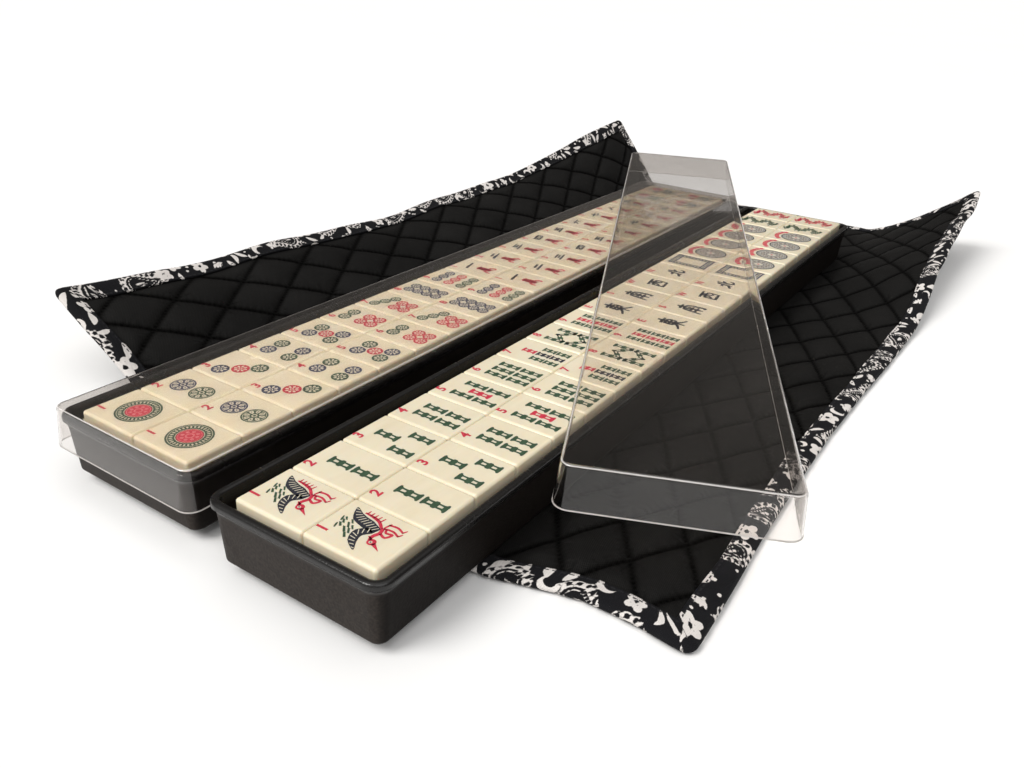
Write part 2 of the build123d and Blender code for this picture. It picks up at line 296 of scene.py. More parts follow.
def clear_cover():
    """Thin clear film: lets light straight through to what is under it, mirrors at a glance, faint scuffs, and a pale
    milky painted highlight along its folds and rounded edges.
    """
    g = Net("clear_cover")
    vec = g.coords()
    scratch = g.noise(g.coords((1.0, 9.0, 1.0), (0, 0, 0.6)), 160.0, 5.0, 0.75)
    cloud = g.noise(vec, 18.0, 3.0, 0.6)
    rough = g.math("ADD", g.math("MULTIPLY", cloud, 0.02), 0.004)
    haze = g.math("ADD", g.math("MULTIPLY", g.ramp(scratch, (0.45, 0.8, 0.0, 1.0)), 0.25), 0.22)
    n = g.bump(g.noise(vec, 24.0, 2.0), 0.03, 0.0010)
    geo = g.t.nodes.new("ShaderNodeNewGeometry")
    nz = g.math("ABSOLUTE", g.node("ShaderNodeSeparateXYZ", Vector=geo.outputs["Normal"]).outputs[2])
    # painted highlight: where the film slopes, at folds and rounded edges, a third of the shader is a pale milky one,
    # standing in for the bright lines of light along them
    fold = g.math("MULTIPLY", g.ramp(nz, (0.50, 0.66, 0.0, 1.0)), g.ramp(nz, (0.80, 0.92, 1.0, 0.0)))
    clear = g.node("ShaderNodeBsdfPrincipled", Base_Color=(0.87, 0.845, 0.825), Roughness=rough, Normal=n, IOR=1.42, Specular_IOR_Level=g.ramp(nz, (0.30, 0.80, 0.10, 0.40)), Transmission_Weight=1.0,
                   Coat_Weight=0.05, Coat_Roughness=haze)
    fold_glint = g.node("ShaderNodeBsdfPrincipled", Base_Color=(0.86, 0.83, 0.81), Roughness=0.30, Normal=n, Specular_IOR_Level=0.8)
    p = g.t.nodes.new("ShaderNodeMixShader")
    g.t.links.new(g.math("MULTIPLY", fold, 0.34), p.inputs[0])
    g.t.links.new(clear.outputs[0], p.inputs[1])
    g.t.links.new(fold_glint.outputs[0], p.inputs[2])
    see = g.node("ShaderNodeBsdfTransparent", Color=(0.84, 0.825, 0.81))
    path = g.node("ShaderNodeLightPath")
    m = g.node("ShaderNodeMixShader")
    g.t.links.new(path.outputs["Is Shadow Ray"], m.inputs[0])
    g.t.links.new(p.outputs[0], m.inputs[1])
    g.t.links.new(see.outputs[0], m.inputs[2])
    g.t.links.new(m.outputs[0], g.out.inputs[0])
    return g.mat


def cut_rim():
    """The sawn lower edge of a cover: frosted, catches the light; its pale colour is partly the frosted cut and partly
    a painted highlight for the bright line along the edge.
    """
    g = Net("cover_cut_edge")
    v = g.noise(g.coords(), 420.0, 3.0, 0.6)
    col = g.mix(v, (0.50, 0.47, 0.45), (0.82, 0.79, 0.77))
    g.principled(Base_Color=col, Roughness=0.32, Normal=g.bump(v, 0.4, 0.0001), Transmission_Weight=0.35, Specular_IOR_Level=0.7)
    return g.mat


def tile_resin():
    g = Net("tile_resin")
    vec = g.coords()
    streak = g.noise(g.coords((1.0, 0.16, 1.0)), 120.0, 4.0, 0.6, 0.6)
    cloud = g.noise(vec, 34.0, 3.0, 0.55)
    col = g.mix(cloud, (0.74, 0.655, 0.485), (0.80, 0.725, 0.560))
    col = g.mix(g.ramp(streak, (0.45, 0.75, 0.0, 0.5)), col, (0.70, 0.595, 0.41))
    rough = g.math("ADD", g.math("MULTIPLY", cloud, 0.10), 0.20)
    n = g.bump(g.noise(vec, 260.0, 2.0), 0.12, 0.0002)
    g.principled(Base_Color=col, Roughness=rough, Normal=n, Subsurface_Weight=0.35, Subsurface_Radius=(0.004, 0.0026, 0.0014),
                 Subsurface_Scale=1.0, Coat_Weight=0.25, Coat_Roughness=0.08)
    return g.mat


def paint(name, dark, light):
    g = Net(name)
    vec = g.coords()
    v = g.noise(vec, 700.0, 3.0, 0.6)
    col = g.mix(g.ramp(v, (0.3, 0.7, 0.0, 1.0)), dark, light)
    n = g.bump(v, 0.4, 0.0001)
    g.principled(Base_Color=col, Roughness=0.42, Normal=n)
    return g.mat


M_TRAY, M_CLEAR, M_CUT, M_TILE = tray_plastic(), clear_cover(), cut_rim(), tile_resin()
M_LINING = black_cotton("quilted_lining", (0.0066, 0.0063, 0.0060), 0.005)
M_OUTER = bandana("outer_print", seams=True)
M_BIND = bandana("binding_print")
PAINTS = {
    "red": paint("paint_red", (0.46, 0.018, 0.045), (0.60, 0.040, 0.075)),
    "green": paint("paint_green", (0.026, 0.058, 0.030), (0.046, 0.092, 0.050)),
    "navy": paint("paint_navy", (0.022, 0.028, 0.070), (0.042, 0.050, 0.105)),
    "black": paint("paint_black", (0.012, 0.013, 0.020), (0.028, 0.030, 0.042)),
    "brown": paint("paint_brown", (0.130, 0.098, 0.085), (0.200, 0.155, 0.135)),
    "pale": paint("paint_pale", (0.36, 0.36, 0.33), (0.46, 0.46, 0.42)),
    "cream": paint("paint_cream", (0.58, 0.53, 0.41), (0.66, 0.60, 0.47)),
    "pink": paint("paint_pink", (0.60, 0.16, 0.17), (0.70, 0.24, 0.24)),
}
PAINT_NAMES = list(PAINTS)

for node, o in frame["nodes"].items():
    m = M_TRAY if node.startswith("tray_") else M_CLEAR if node.startswith("cover_") else None
    if m is None and not node.startswith(("wrap_", "left_flap", "right_flap")):
        m = M_TILE
    if m is not None:
        for sl in o.material_slots:
            sl.material = m


# ---------------------------------------------------------------- wrap shape
WRAP_T = 4.0
HALF_S, HALF_Y = 165.0, 267.5          # half of the flat cut, millimetres
FOLD = 101.0
LEFT_LEAN = [(-275, 36.0), (-267.5, 36.0), (-188, 30.5), (-113, 27.0), (-22, 24.0), (67, 26.0), (150, 34.0), (176, 39.5), (225, 51.0), (267.5, 54.0), (275, 54.0)]
RIGHT_RISE = [(-275, 0.0), (20, 0.0), (50, 0.6), (80, 6.0), (125, 21.5), (160, 28.5), (190, 31.5), (215, 34.5), (240, 39.0), (267.5, 49.0), (275, 51.0)]


def smooth_profile(keys, y, sigma):
    grid = np.arange(-330.0, 331.0, 2.0)
    v = np.interp(grid, [k[0] for k in keys], [k[1] for k in keys])
    n = int(3 * sigma / 2) + 1
    w = np.exp(-0.5 * (np.arange(-n, n + 1) * 2.0 / sigma) ** 2)
    v = np.convolve(np.pad(v, n, mode="edge"), w / w.sum(), mode="valid")
    return np.interp(y, grid, v)


MAP_S = np.arange(0.0, 176.01, 0.5)     # distance from the middle, along the cloth
MAP_Y = np.arange(-280.0, 280.01, 2.0)


def build_tables():
    """Section of the wrap's top face at every station: place, height and slope along the cloth."""
    mid = (MAP_S[1:] + MAP_S[:-1]) / 2
    step = MAP_S[1] - MAP_S[0]
    lean = np.radians(smooth_profile(LEFT_LEAN, MAP_Y, 12.0))
    t = np.clip((mid - (FOLD - 9.0)) / 18.0, 0, 1)
    bend = t * t * (3 - 2 * t)
    th = lean[:, None] * bend[None, :]
    # a flap's own shape: a little slack between fold and edge
    t2 = np.clip((mid - FOLD) / 64.0, 0, 1)
    slack = np.radians(5.0) * np.sin(2 * np.pi * t2)[None, :] * (0.6 + 0.4 * np.sin(MAP_Y / 47.0))[:, None]
    thl = th + slack
    rise = smooth_profile(RIGHT_RISE, MAP_Y, 9.0)
    start, reach = 87.0, 77.0
    thr = np.zeros((len(MAP_Y), len(mid)))
    d = np.zeros(len(MAP_Y))
    for i, s in enumerate(mid):
        slope = rise / reach * 1.35 * (d / reach) ** 0.35 if s > start else np.zeros(len(MAP_Y))
        thr[:, i] = np.arctan(slope)
        if s > start:
            d = d + step * np.cos(thr[:, i])
    out = []
    for th_ in (thl, thr):
        x = np.concatenate([np.zeros((len(MAP_Y), 1)), np.cumsum(np.cos(th_) * step, axis=1)], axis=1)
        z = np.concatenate([np.zeros((len(MAP_Y), 1)), np.cumsum(np.sin(th_) * step, axis=1)], axis=1)
        a = np.concatenate([th_[:, :1], (th_[:, 1:] + th_[:, :-1]) / 2, th_[:, -1:]], axis=1)
        out.append((x, z, a))
    return out


TABLES = build_tables()


def look_up(table, s, y):
    fs = np.clip((s - MAP_S[0]) / 0.5, 0, len(MAP_S) - 1.001)
    fy = np.clip((y - MAP_Y[0]) / 2.0, 0, len(MAP_Y) - 1.001)
    i, j = fs.astype(int), fy.astype(int)
    u, v = fs - i, fy - j
    return (table[j, i] * (1 - u) * (1 - v) + table[j, i + 1] * u * (1 - v)
            + table[j + 1, i] * (1 - u) * v + table[j + 1, i + 1] * u * v)


NEAR_DY = ((-168, -140, -115, -90, -60, 0, 50, 80, 94, 105.7, 117, 126.6, 137, 147, 157, 163.4, 168), (-2.4, -1.6, 0.6, 1.0, 0.0, -3.0, -7.0, -7.5, -6.4, -2.7, 0.7, 2.8, 2.9, 2.5, 1.1, 0.6, 1.2))
FAR_DY = ((-168, -120, -60, 0, 60, 110, 140, 168), (0.6, 0.0, 1.0, 0.3, -0.8, 0.2, 2.2, 4.0))
RIGHT_DS = ((-275, -260, -244, -225, -198, -150, -100, -50, 0, 60, 120, 176, 220, 250, 267.5, 275), (1.2, 1.3, 0.7, -0.2, -1.8, -3.2, -4.0, -3.0, -1.0, 0.6, -0.4, 0.4, 2.6, 5.4, 7.0, 7.4))
LEFT_DS = ((-275, -240, -200, -140, -60, 20, 90, 150, 176, 225, 267.5, 275), (3.5, 2.0, 0.4, 0.9, -0.6, 0.8, -0.3, 0.4, 1.2, 3.6, 6.6, 7.0))


def cut_edge(s, y):
    """The wrap's edges aren't quite straight: the cut line wanders a few millimetres in the plane of the cloth."""
    near = np.exp(-(y + HALF_Y) ** 2 / (2 * 40.0 ** 2))
    far = np.exp(-(y - HALF_Y) ** 2 / (2 * 40.0 ** 2))
    right = np.exp(-(s - HALF_S) ** 2 / (2 * 22.0 ** 2))
    left = np.exp(-(s + HALF_S) ** 2 / (2 * 22.0 ** 2))
    dy = near * np.interp(s, NEAR_DY[0], NEAR_DY[1]) + far * np.interp(s, FAR_DY[0], FAR_DY[1])
    ds = right * np.interp(y, RIGHT_DS[0], RIGHT_DS[1]) - left * np.interp(y, LEFT_DS[0], LEFT_DS[1])
    return ds, dy


def wobble(s, y):
    """Slow rise and fall of the loose edges, in millimetres off the plain shape."""
    edge_l = np.clip((-s - 112) / 53.0, 0, 1.2) ** 1.5
    edge_r = np.clip((s - 112) / 53.0, 0, 1.2) ** 1.5 * np.clip((y - 60) / 80.0, 0, 1)
    return edge_l * (1.1 * np.sin(y / 26.0) + 0.7 * np.sin(y / 11.5 + 1.3)) + edge_r * (0.9 * np.sin(y / 15.0 + 0.5) + 0.5 * np.sin(y / 8.0))


def wrap_map(s, y, h):
    """(s across, y along, h above the underside) of the flat cut -> place in the row frame, all in millimetres."""
    s, y, h = np.broadcast_arrays(np.asarray(s, float), np.asarray(y, float), np.asarray(h, float))
    ds, dy = cut_edge(s, y)
    s2, y2 = s + ds, y + dy
    out = np.zeros(s.shape + (3,))
    for side, (tx, tz, ta) in zip((-1, 1), TABLES):
        m = (s2 < 0) if side < 0 else (s2 >= 0)
        if not m.any():
            continue
        a = look_up(ta, np.abs(s2[m]), y2[m])
        x, z = look_up(tx, np.abs(s2[m]), y2[m]), look_up(tz, np.abs(s2[m]), y2[m]) + WRAP_T
        off = h[m] - WRAP_T + wobble(s[m], y[m])
        out[m, 0] = side * (x - off * np.sin(a))
        out[m, 1] = y2[m]
        out[m, 2] = z + off * np.cos(a)
    return out


# ---------------------------------------------------------------- bandana print
# White motifs on black, given as a distance field: negative inside the white. Generic leaves, flowers and paisleys.
def turned(x, y, cx, cy, ang):
    c, s = math.cos(ang), math.sin(ang)
    dx, dy = x - cx, y - cy
    return dx * c + dy * s, -dx * s + dy * c


def d_leaf(x, y, length, width, bow=0.0):
    y = y - bow * (x / length) ** 2 * length
    t = np.clip(np.abs(x) / length, 0, 1)
    inside = (np.abs(y) - width * (1 - t ** 2) ** 0.9) * 0.85
    return np.where(np.abs(x) <= length, inside, np.hypot(np.abs(x) - length, y))


def d_drop(x, y, r):
    """Bent teardrop, round head at the origin, tip to +x."""
    tip = 2.3 * r
    yb = np.where(x > 0, y - 0.17 * x * np.abs(x) / r, y)
    w = r * (1 - np.clip(x / tip, 0, 1) ** 1.35)
    body = (np.abs(yb) - w) * 0.82
    head = np.hypot(x, yb) - r
    return np.where(x < 0, head, np.where(x < tip, body, np.hypot(x - tip, yb))), yb


def m_paisley(x, y, r):
    d, yb = d_drop(x, y, r)
    arc = np.where(x < 0, np.arctan2(yb, x + 1e-9) * r, np.sign(yb) * (math.pi / 2 * r - x))
    pitch = 2.5
    c = (arc / pitch - np.round(arc / pitch)) * pitch
    loop = np.abs(np.hypot(c, np.maximum(d - 1.9, 0)) - 0.95) - 0.27
    loop = np.maximum(loop, 0.5 - d)
    out = np.minimum(np.abs(d - 0.25) - 0.36, loop)
    out = np.minimum(out, np.abs(d + 1.35) - 0.24)
    lx, ly = turned(x, y, 0.30 * r, 0.02 * r, 0.25)
    heart = d_leaf(lx, ly, 0.62 * r, 0.20 * r, 0.1)
    return np.minimum(out, np.maximum(heart, 0.14 - np.abs(ly)))


def m_flower(x, y, r, n=5):
    a, q = np.arctan2(y, x), np.hypot(x, y)
    k = np.round(a * n / (2 * math.pi)) * 2 * math.pi / n
    px, py = q * np.cos(a - k), q * np.sin(a - k)
    petal = np.hypot((px - 0.60 * r) / 1.12, py * 1.05) - 0.37 * r
    out = np.maximum(petal, 0.20 * r - q)
    vein = np.abs(py) - 0.16
    return np.maximum(out, -np.where((px > 0.34 * r) & (px < 0.55 * r), vein, 9.0))


def m_sprig(x, y, r):
    stem = np.where(np.abs(x) < r, np.abs(y - 0.22 * r * np.sin(x / r * 1.8)) - 0.27, 9.0)
    out = stem
    for k, sx in enumerate((-0.75, -0.35, 0.05, 0.45, 0.8)):
        for side in (-1, 1):
            lx, ly = turned(x, y, sx * r + 0.16 * r, 0.22 * r * math.sin(sx * 1.8) + side * 0.27 * r, side * 0.85)
            out = np.minimum(out, d_leaf(lx, ly, 0.27 * r, 0.10 * r))
    lx, ly = turned(x, y, 1.12 * r, 0.22 * r * math.sin(1.9), 0.2)
    return np.minimum(out, d_leaf(lx, ly, 0.24 * r, 0.11 * r))


def m_comma(x, y, r):
    return np.maximum(np.hypot(x, y) - r, 0.78 * r - np.hypot(x - 0.36 * r, y - 0.22 * r))


def m_scroll(x, y, r):
    q, a = np.hypot(x, y), np.arctan2(y, x)
    spiral = np.abs(q - r * (0.35 + 0.10 * (a + math.pi))) - 0.34
    return np.minimum(np.minimum(spiral, q - 0.20 * r), d_leaf(*turned(x, y, 0.9 * r, -0.75 * r, -0.6), 0.42 * r, 0.16 * r))


def m_leaf(x, y, r):
    return d_leaf(x, y, r, 0.36 * r, 0.22)


def m_twin(x, y, r):
    a = d_leaf(*turned(x, y, 0, 0.42 * r, 0.35), 0.85 * r, 0.24 * r, 0.2)
    b = d_leaf(*turned(x, y, 0, -0.42 * r, -0.35), 0.85 * r, 0.24 * r, -0.2)
    return np.minimum(a, b)


def m_fan(x, y, r):
    out = np.full(x.shape, 9.0)
    for k in range(-2, 3):
        lx, ly = turned(x, y, 0.62 * r * math.cos(k * 0.42), 0.62 * r * math.sin(k * 0.42), k * 0.42)
        out = np.minimum(out, d_leaf(lx, ly, 0.42 * r, 0.13 * r))
    return np.minimum(out, np.hypot(x, y) - 0.16 * r)


def m_dot(x, y, r):
    return np.hypot(x, y) - r


def m_dash(x, y, r):
    return np.hypot(np.maximum(np.abs(x) - r, 0), y) - 0.42


MOTIFS = {"paisley": (m_paisley, 3.0), "flower": (m_flower, 1.1), "sprig": (m_sprig, 1.6), "comma": (m_comma, 1.1), "scroll": (m_scroll, 1.5),
          "leaf": (m_leaf, 1.1), "twin": (m_twin, 1.2), "fan": (m_fan, 1.2), "dot": (m_dot, 1.2), "dash": (m_dash, 1.6)}


def print_field(u, v, instances):
    """Distance from the white of all the instances (kind, u, v, angle, size) at the points (u, v), mm."""
    out = np.full(u.shape, 3.0)
    order = np.argsort(u, kind="stable")
    us = u[order]
    for kind, cu, cv, ang, r in instances:
        fn, reach = MOTIFS[kind]
        far = reach * r + 1.5
        i0, i1 = np.searchsorted(us, (cu - far, cu + far))
        idx = order[i0:i1]
        idx = idx[np.abs(v[idx] - cv) < far]
        if len(idx):
            x, y = turned(u[idx], v[idx], cu, cv, ang)
            out[idx] = np.minimum(out[idx], fn(x, y, r))
    return out


SIZES = [("paisley", 4.9, 7.9, 27.0), ("flower", 5.0, 4.8, 46.0), ("fan", 5.2, 4.6, 34.0), ("twin", 4.8, 4.2, 30.0), ("leaf", 4.8, 3.7, 15.0),
         ("comma", 3.6, 3.2, 24.0), ("leaf", 3.2, 2.7, 13.0), ("comma", 2.6, 2.4, 22.0), ("dash", 1.4, 1.8, 12.0), ("dot", 0.8, 1.3, 9.0)]


def border_motifs(rng, length, half):
    """Motifs strewn along a strip of that length without touching: (kind, size, room round it, one per so many mm)."""
    out, at = [], np.zeros((0, 3))
    for kind, size, room, per in SIZES:
        for _ in range(int(length / per)):
            for _ in range(14):
                u, v = rng.uniform(2, length - 2), rng.uniform(-0.86, 0.86) * half
                if not len(at) or (np.hypot(at[:, 0] - u, at[:, 1] - v) > 1.04 * (at[:, 2] + room)).all():
                    k = rng.uniform(0.88, 1.12)
                    ang = rng.uniform(0, 2 * math.pi) if kind != "paisley" else rng.choice([0.3, 2.8, 3.5, -0.3, 0.9, 4.0])
                    du = 0.65 * size * math.cos(ang) if kind == "paisley" else 0.0
                    dv = 0.65 * size * math.sin(ang) if kind == "paisley" else 0.0
                    out.append((kind, u - du, v - dv, ang, size * k))
                    at = np.vstack([at, (u, v, room)])
                    break
    return out


def field_motifs(rng, s0, s1, y0, y1):
    """The same print over the plane of the cloth."""
    out = []
    step = 25.0
    for j, y in enumerate(np.arange(y0, y1 + step, step)):
        for i, s in enumerate(np.arange(s0, s1 + step, step)):
            ss, yy = s + (j % 2) * step / 2 + rng.uniform(-2, 2), y + rng.uniform(-2, 2)
            kind = ("paisley", "flower", "sprig")[(i + 2 * j) % 3]
            out.append((kind, ss, yy, rng.uniform(0, 6.28), {"paisley": 6.2, "flower": 5.6, "sprig": 7.2}[kind]))
            for _ in range(5):
                a, q = rng.uniform(0, 6.28), rng.uniform(10.5, 13.5)
                kind = ("leaf", "comma", "dot", "twin", "dash", "fan")[int(rng.integers(6))]
                out.append((kind, ss + q * math.cos(a), yy + q * math.sin(a), rng.uniform(0, 6.28), {"leaf": 2.8, "comma": 2.4, "dot": 0.8, "twin": 2.8, "dash": 1.2, "fan": 3.6}[kind]))
    return out


# ---------------------------------------------------------------- quilt
QS, QY = 26.0, 43.0                      # stitched diamonds, across and along
QS0, QY0 = -143.0, -219.0                # one crossing of the stitched lines
QD = 1 / math.hypot(1 / QS, 1 / QY)
BIND = 10.0


def seams(s, y):
    """Distance from the nearest stitched line, from the other family, and the way along the nearest."""
    p = (s - QS0) / QS + (y - QY0) / QY
    q = (s - QS0) / QS - (y - QY0) / QY
    d1, d2 = np.abs(p - np.round(p)) * QD, np.abs(q - np.round(q)) * QD
    n = math.hypot(QS, QY)
    along = np.where(d1 < d2, (s * QS - y * QY) / n, (s * QS + y * QY) / n)
    return d1, d2, along


def smooth_step(v, a, b):
    t = np.clip((v - a) / (b - a), 0, 1)
    return t * t * (3 - 2 * t)


TRAYS = [(-32.2, -75.7), (56.0, -79.4)]  # middles of the two trays' feet


def under_tray(s, y):
    """1 well clear of the trays, 0 under them."""
    clear = np.ones(np.shape(s))
    for cx, cy in TRAYS:
        d = np.maximum(np.abs(s - cx) - 36.3, np.abs(y - cy) - 245.0)
        clear = np.minimum(clear, smooth_step(d, 0.0, 11.0))
    return clear


def puff(s, y):
    d1, d2, along = seams(s, y)
    g = lambda d: (1 - (1 - np.clip(d / (QD / 2), 0, 1)) ** 2) ** 0.45
    f = g(d1) * g(d2)
    near = np.minimum(d1, d2)
    crease = 0.16 * np.sin(2 * math.pi * along / 7.7 + 2.1 * np.sin(s / 9.0) + 1.7 * np.sin(y / 13.0)) * np.exp(-near / 4.0) * (1 - np.exp(-near / 1.2))
    slow = 0.25 * np.sin(s / 6.3 + 1.1 * np.sin(y / 17.0)) * np.sin(y / 8.9 + 0.7) * f
    return f, near, along, crease + slow


def quilt(name, side):
    """Half of the quilted cloth: lining above, printed cloth below, closed at the rim and at the middle line."""
    e = 6.0                               # the raw edge lies inside the binding
    s_all = QS0 + 1.3 * np.arange(-30, 270)
    s_all = s_all[(s_all >= -(HALF_S - e)) & (s_all <= 1e-6)] if side < 0 else s_all[(s_all >= -1e-6) & (s_all <= HALF_S - e)]
    end = side * (HALF_S - e)
    s_all = np.append(s_all, end) if side > 0 else np.insert(s_all, 0, end)
    y_all = QY0 + (21.5 / 12) * np.arange(-40, 320)
    y_all = y_all[np.abs(y_all) < HALF_Y - e]
    y_all = np.concatenate([[-(HALF_Y - e)], y_all, [HALF_Y - e]])
    S, Y = np.meshgrid(s_all, y_all)
    f, near, along, crease = puff(S, Y)
    clear = under_tray(S, Y)
    inset = np.minimum(HALF_S - np.abs(S), HALF_Y - np.abs(Y))
    rim = smooth_step(inset, BIND - 0.5, BIND + 7.0)
    crown = 4.05 + 1.15 * clear
    top = 2.7 + (crown - 2.7) * f + crease * (0.35 + 0.65 * clear)
    top = np.minimum(top, crown)
    top = 3.05 + (top - 3.05) * rim
    free = smooth_step(-S, FOLD + 2, FOLD + 20) + smooth_step(S, FOLD + 10, FOLD + 40) * smooth_step(Y, 70, 120)
    low = 1.5 * (1 - f) - 0.7 * free * f
    low = 0.95 + (low - 0.95) * rim
    a = wrap_map(S, Y, top).reshape(-1, 3)
    b = wrap_map(S, Y, low).reshape(-1, 3)
    b[:, 2] = np.maximum(b[:, 2], 0.05)
    ny, ns = S.shape
    i = np.arange(ny * ns).reshape(ny, ns)
    quads = np.stack([i[:-1, :-1], i[:-1, 1:], i[1:, 1:], i[1:, :-1]], axis=-1).reshape(-1, 4)
    n = ny * ns
    under = quads[:, ::-1] + n
    loop = np.concatenate([i[0, :], i[1:, -1], i[-1, -2::-1], i[-2:0:-1, 0]])
    nxt = np.roll(loop, -1)
    wall = np.stack([loop, loop + n, nxt + n, nxt], axis=-1)
    faces = np.concatenate([quads, under, wall])
    mats = np.concatenate([np.zeros(len(quads)), np.ones(len(under)), np.zeros(len(wall))]).astype(int)
    ob = mesh_object(name, np.concatenate([a, b]), faces, [M_LINING, M_OUTER], mats)
    rng = np.random.default_rng(77)
    sdf = print_field(S.ravel(), Y.ravel(), field_motifs(rng, -170, 170, -272, 272))
    give(ob, "seam", np.concatenate([near.ravel(), near.ravel()]))
    give(ob, "along", np.concatenate([along.ravel(), along.ravel()]))
    give(ob, "print", np.concatenate([np.full(n, 3.0), sdf]))
    sharp = ob.data.attributes.new("sharp_edge", "BOOLEAN", "EDGE")
    edges = np.zeros(len(ob.data.edges) * 2, np.int32)
    ob.data.edges.foreach_get("vertices", edges)
    rim_v = np.zeros(2 * n, bool)
    rim_v[loop] = rim_v[loop + n] = True
    sharp.data.foreach_set("value", rim_v[edges[0::2]] & rim_v[edges[1::2]])
    return ob


# ---------------------------------------------------------------- binding
BIND_OUT = [(10.0, 3.35), (9.95, 3.75), (9.6, 4.02), (8.6, 3.92), (7.2, 4.22), (5.4, 4.36), (3.6, 4.28), (2.2, 3.98), (1.1, 3.42), (0.35, 2.7), (0.08, 2.0),
            (0.35, 1.2), (1.0, 0.55), (2.1, 0.16), (3.6, 0.04), (5.4, 0.03), (7.2, 0.05), (8.6, 0.18), (9.6, 0.06), (9.95, 0.25), (10.0, 0.6)]
BIND_IN = [(9.8, 0.85), (7.0, 0.85), (4.0, 0.85), (2.2, 1.15), (1.4, 1.6), (1.15, 2.1), (1.5, 2.7), (2.4, 3.05), (4.0, 3.2), (7.0, 3.15), (9.8, 3.15)]
CORNER = 4.5


def resampled(points, step):
    p = np.array(points, float)
    d = np.concatenate([[0], np.cumsum(np.hypot(*np.diff(p, axis=0).T))])
    n = int(round(d[-1] / step)) + 1
    t = np.linspace(0, d[-1], n)
    return np.stack([np.interp(t, d, p[:, 0]), np.interp(t, d, p[:, 1])], axis=1), t


def rim_point(u, e, side):
    """Place (s, y) at the way u along half of the rim, e in from the edge. u runs from the near middle, round one side, to the far middle."""
    r0 = CORNER
    lx, ly = HALF_S - r0, HALF_Y - r0     # straight lengths, from the middle
    q = math.pi / 2 * r0
    r = np.maximum(r0 - e, 0.3)
    hx, hy = HALF_S - e, HALF_Y - e
    mx, my = hx - r, hy - r

    def squeeze(c, full, most):
        c0 = full - 22.0
        return np.where(c <= c0, c, c0 + (c - c0) * (most - c0) / (full - c0))

    s, y = np.zeros(np.broadcast(u, e).shape), np.zeros(np.broadcast(u, e).shape)
    a0, a1, a2, a3 = lx, lx + q, lx + q + 2 * ly, lx + 2 * q + 2 * ly
    m = u <= a0
    s = np.where(m, squeeze(u, lx, mx), s)
    y = np.where(m, -hy, y)
    m = (u > a0) & (u <= a1)
    ang = (u - a0) / r0
    s = np.where(m, mx + r * np.sin(ang), s)
    y = np.where(m, -my - r * np.cos(ang), y)
    m = (u > a1) & (u <= a2)
    c = u - a1 - ly
    s = np.where(m, hx, s)
    y = np.where(m, np.sign(c) * squeeze(np.abs(c), ly, my), y)
    m = (u > a2) & (u <= a3)
    ang = (u - a2) / r0
    s = np.where(m, mx + r * np.cos(ang), s)
    y = np.where(m, my + r * np.sin(ang), y)
    m = u > a3
    s = np.where(m, squeeze(lx - (u - a3), lx, mx), s)
    y = np.where(m, hy, y)
    return side * s, y


def binding(name, side):
    outer, t = resampled(BIND_OUT, 0.8)
    inner = np.array(BIND_IN)
    ring = np.concatenate([outer, inner])
    total = 2 * (HALF_S - CORNER) + 2 * (HALF_Y - CORNER) + math.pi * CORNER
    u = np.linspace(0, total, int(total / 0.85))
    U, E = np.meshgrid(u, ring[:, 0], indexing="ij")
    H = np.broadcast_to(ring[:, 1], U.shape)
    s, y = rim_point(U, E, side)
    # the sewn strip isn't dead even: its inner edge wanders, and it swells between stitches
    wander = 0.55 * np.sin(U / 23.0 + side) + 0.3 * np.sin(U / 9.1)
    k = smooth_step(E, 3.0, 9.8) * wander
    s2, y2 = rim_point(U, np.clip(E + k, 0.02, 11.5), side)
    s, y = s2, y2
    swell = 0.16 * np.sin(U / 3.1 + 1.4 * np.sin(U / 11.0)) * smooth_step(E, 1.5, 4) * (1 - smooth_step(E, 7.0, 8.6)) * (H > 2.0)
    P = wrap_map(s, y, H + swell).reshape(-1, 3)
    P[:, 2] = np.maximum(P[:, 2], 0.03)
    nu, nr = U.shape
    i = np.arange(nu * nr).reshape(nu, nr)
    j = np.roll(i, -1, axis=1)
    quads = np.stack([i[:-1], j[:-1], j[1:], i[1:]], axis=-1).reshape(-1, 4)
    if side > 0:
        quads = quads[:, ::-1]
    caps = [i[0][::-1].tolist(), i[-1].tolist()]
    if side > 0:
        caps = [c[::-1] for c in caps]
    ob = mesh_object(name, P, quads.tolist() + caps, [M_BIND])
    for p in list(ob.data.polygons)[-2:]:
        p.use_smooth = False
    V = np.concatenate([t - t[-1] / 2, np.full(len(inner), 99.0)])
    Vg = np.broadcast_to(V, U.shape)
    rng = np.random.default_rng(5 if side < 0 else 19)
    sdf = print_field(U.ravel(), Vg.ravel(), border_motifs(rng, total, t[-1] / 2))
    give(ob, "print", sdf)
    give(ob, "hem", np.broadcast_to(np.concatenate([8.6 - outer[:, 0], np.full(len(inner), 9.0)]), U.shape))
    give(ob, "along", U)
    return ob


wrap_pieces = []
for side, half, flap in ((-1, "left", "left_flap"), (1, "right", "right_flap")):
    q, b = quilt("quilt_" + half, side), binding("binding_" + half, side)
    base = ["wrap_base_lining", "wrap_base_batting", "wrap_base_outer"] if side < 0 else []
    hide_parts(*base, flap + "_lining", flap + "_batting", flap + "_outer")
    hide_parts(*(["wrap_base_binding_near", "wrap_base_binding_far"] if side < 0 else []),
                flap + "_binding_side", flap + "_binding_near", flap + "_binding_far")
    for o in (q, b):
        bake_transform(o)
    wrap_pieces += [q, b]


# ---------------------------------------------------------------- tile faces
# Traditional suit figures, drawn flat in tile coordinates: a to the right (+Y), b up (-X), origin at the tile's middle.
ROWS, TILE_TOP = 20, 31.6
BLOCKS = {"a": (-29.2, -77.8), "b": (59.0, -81.5)}


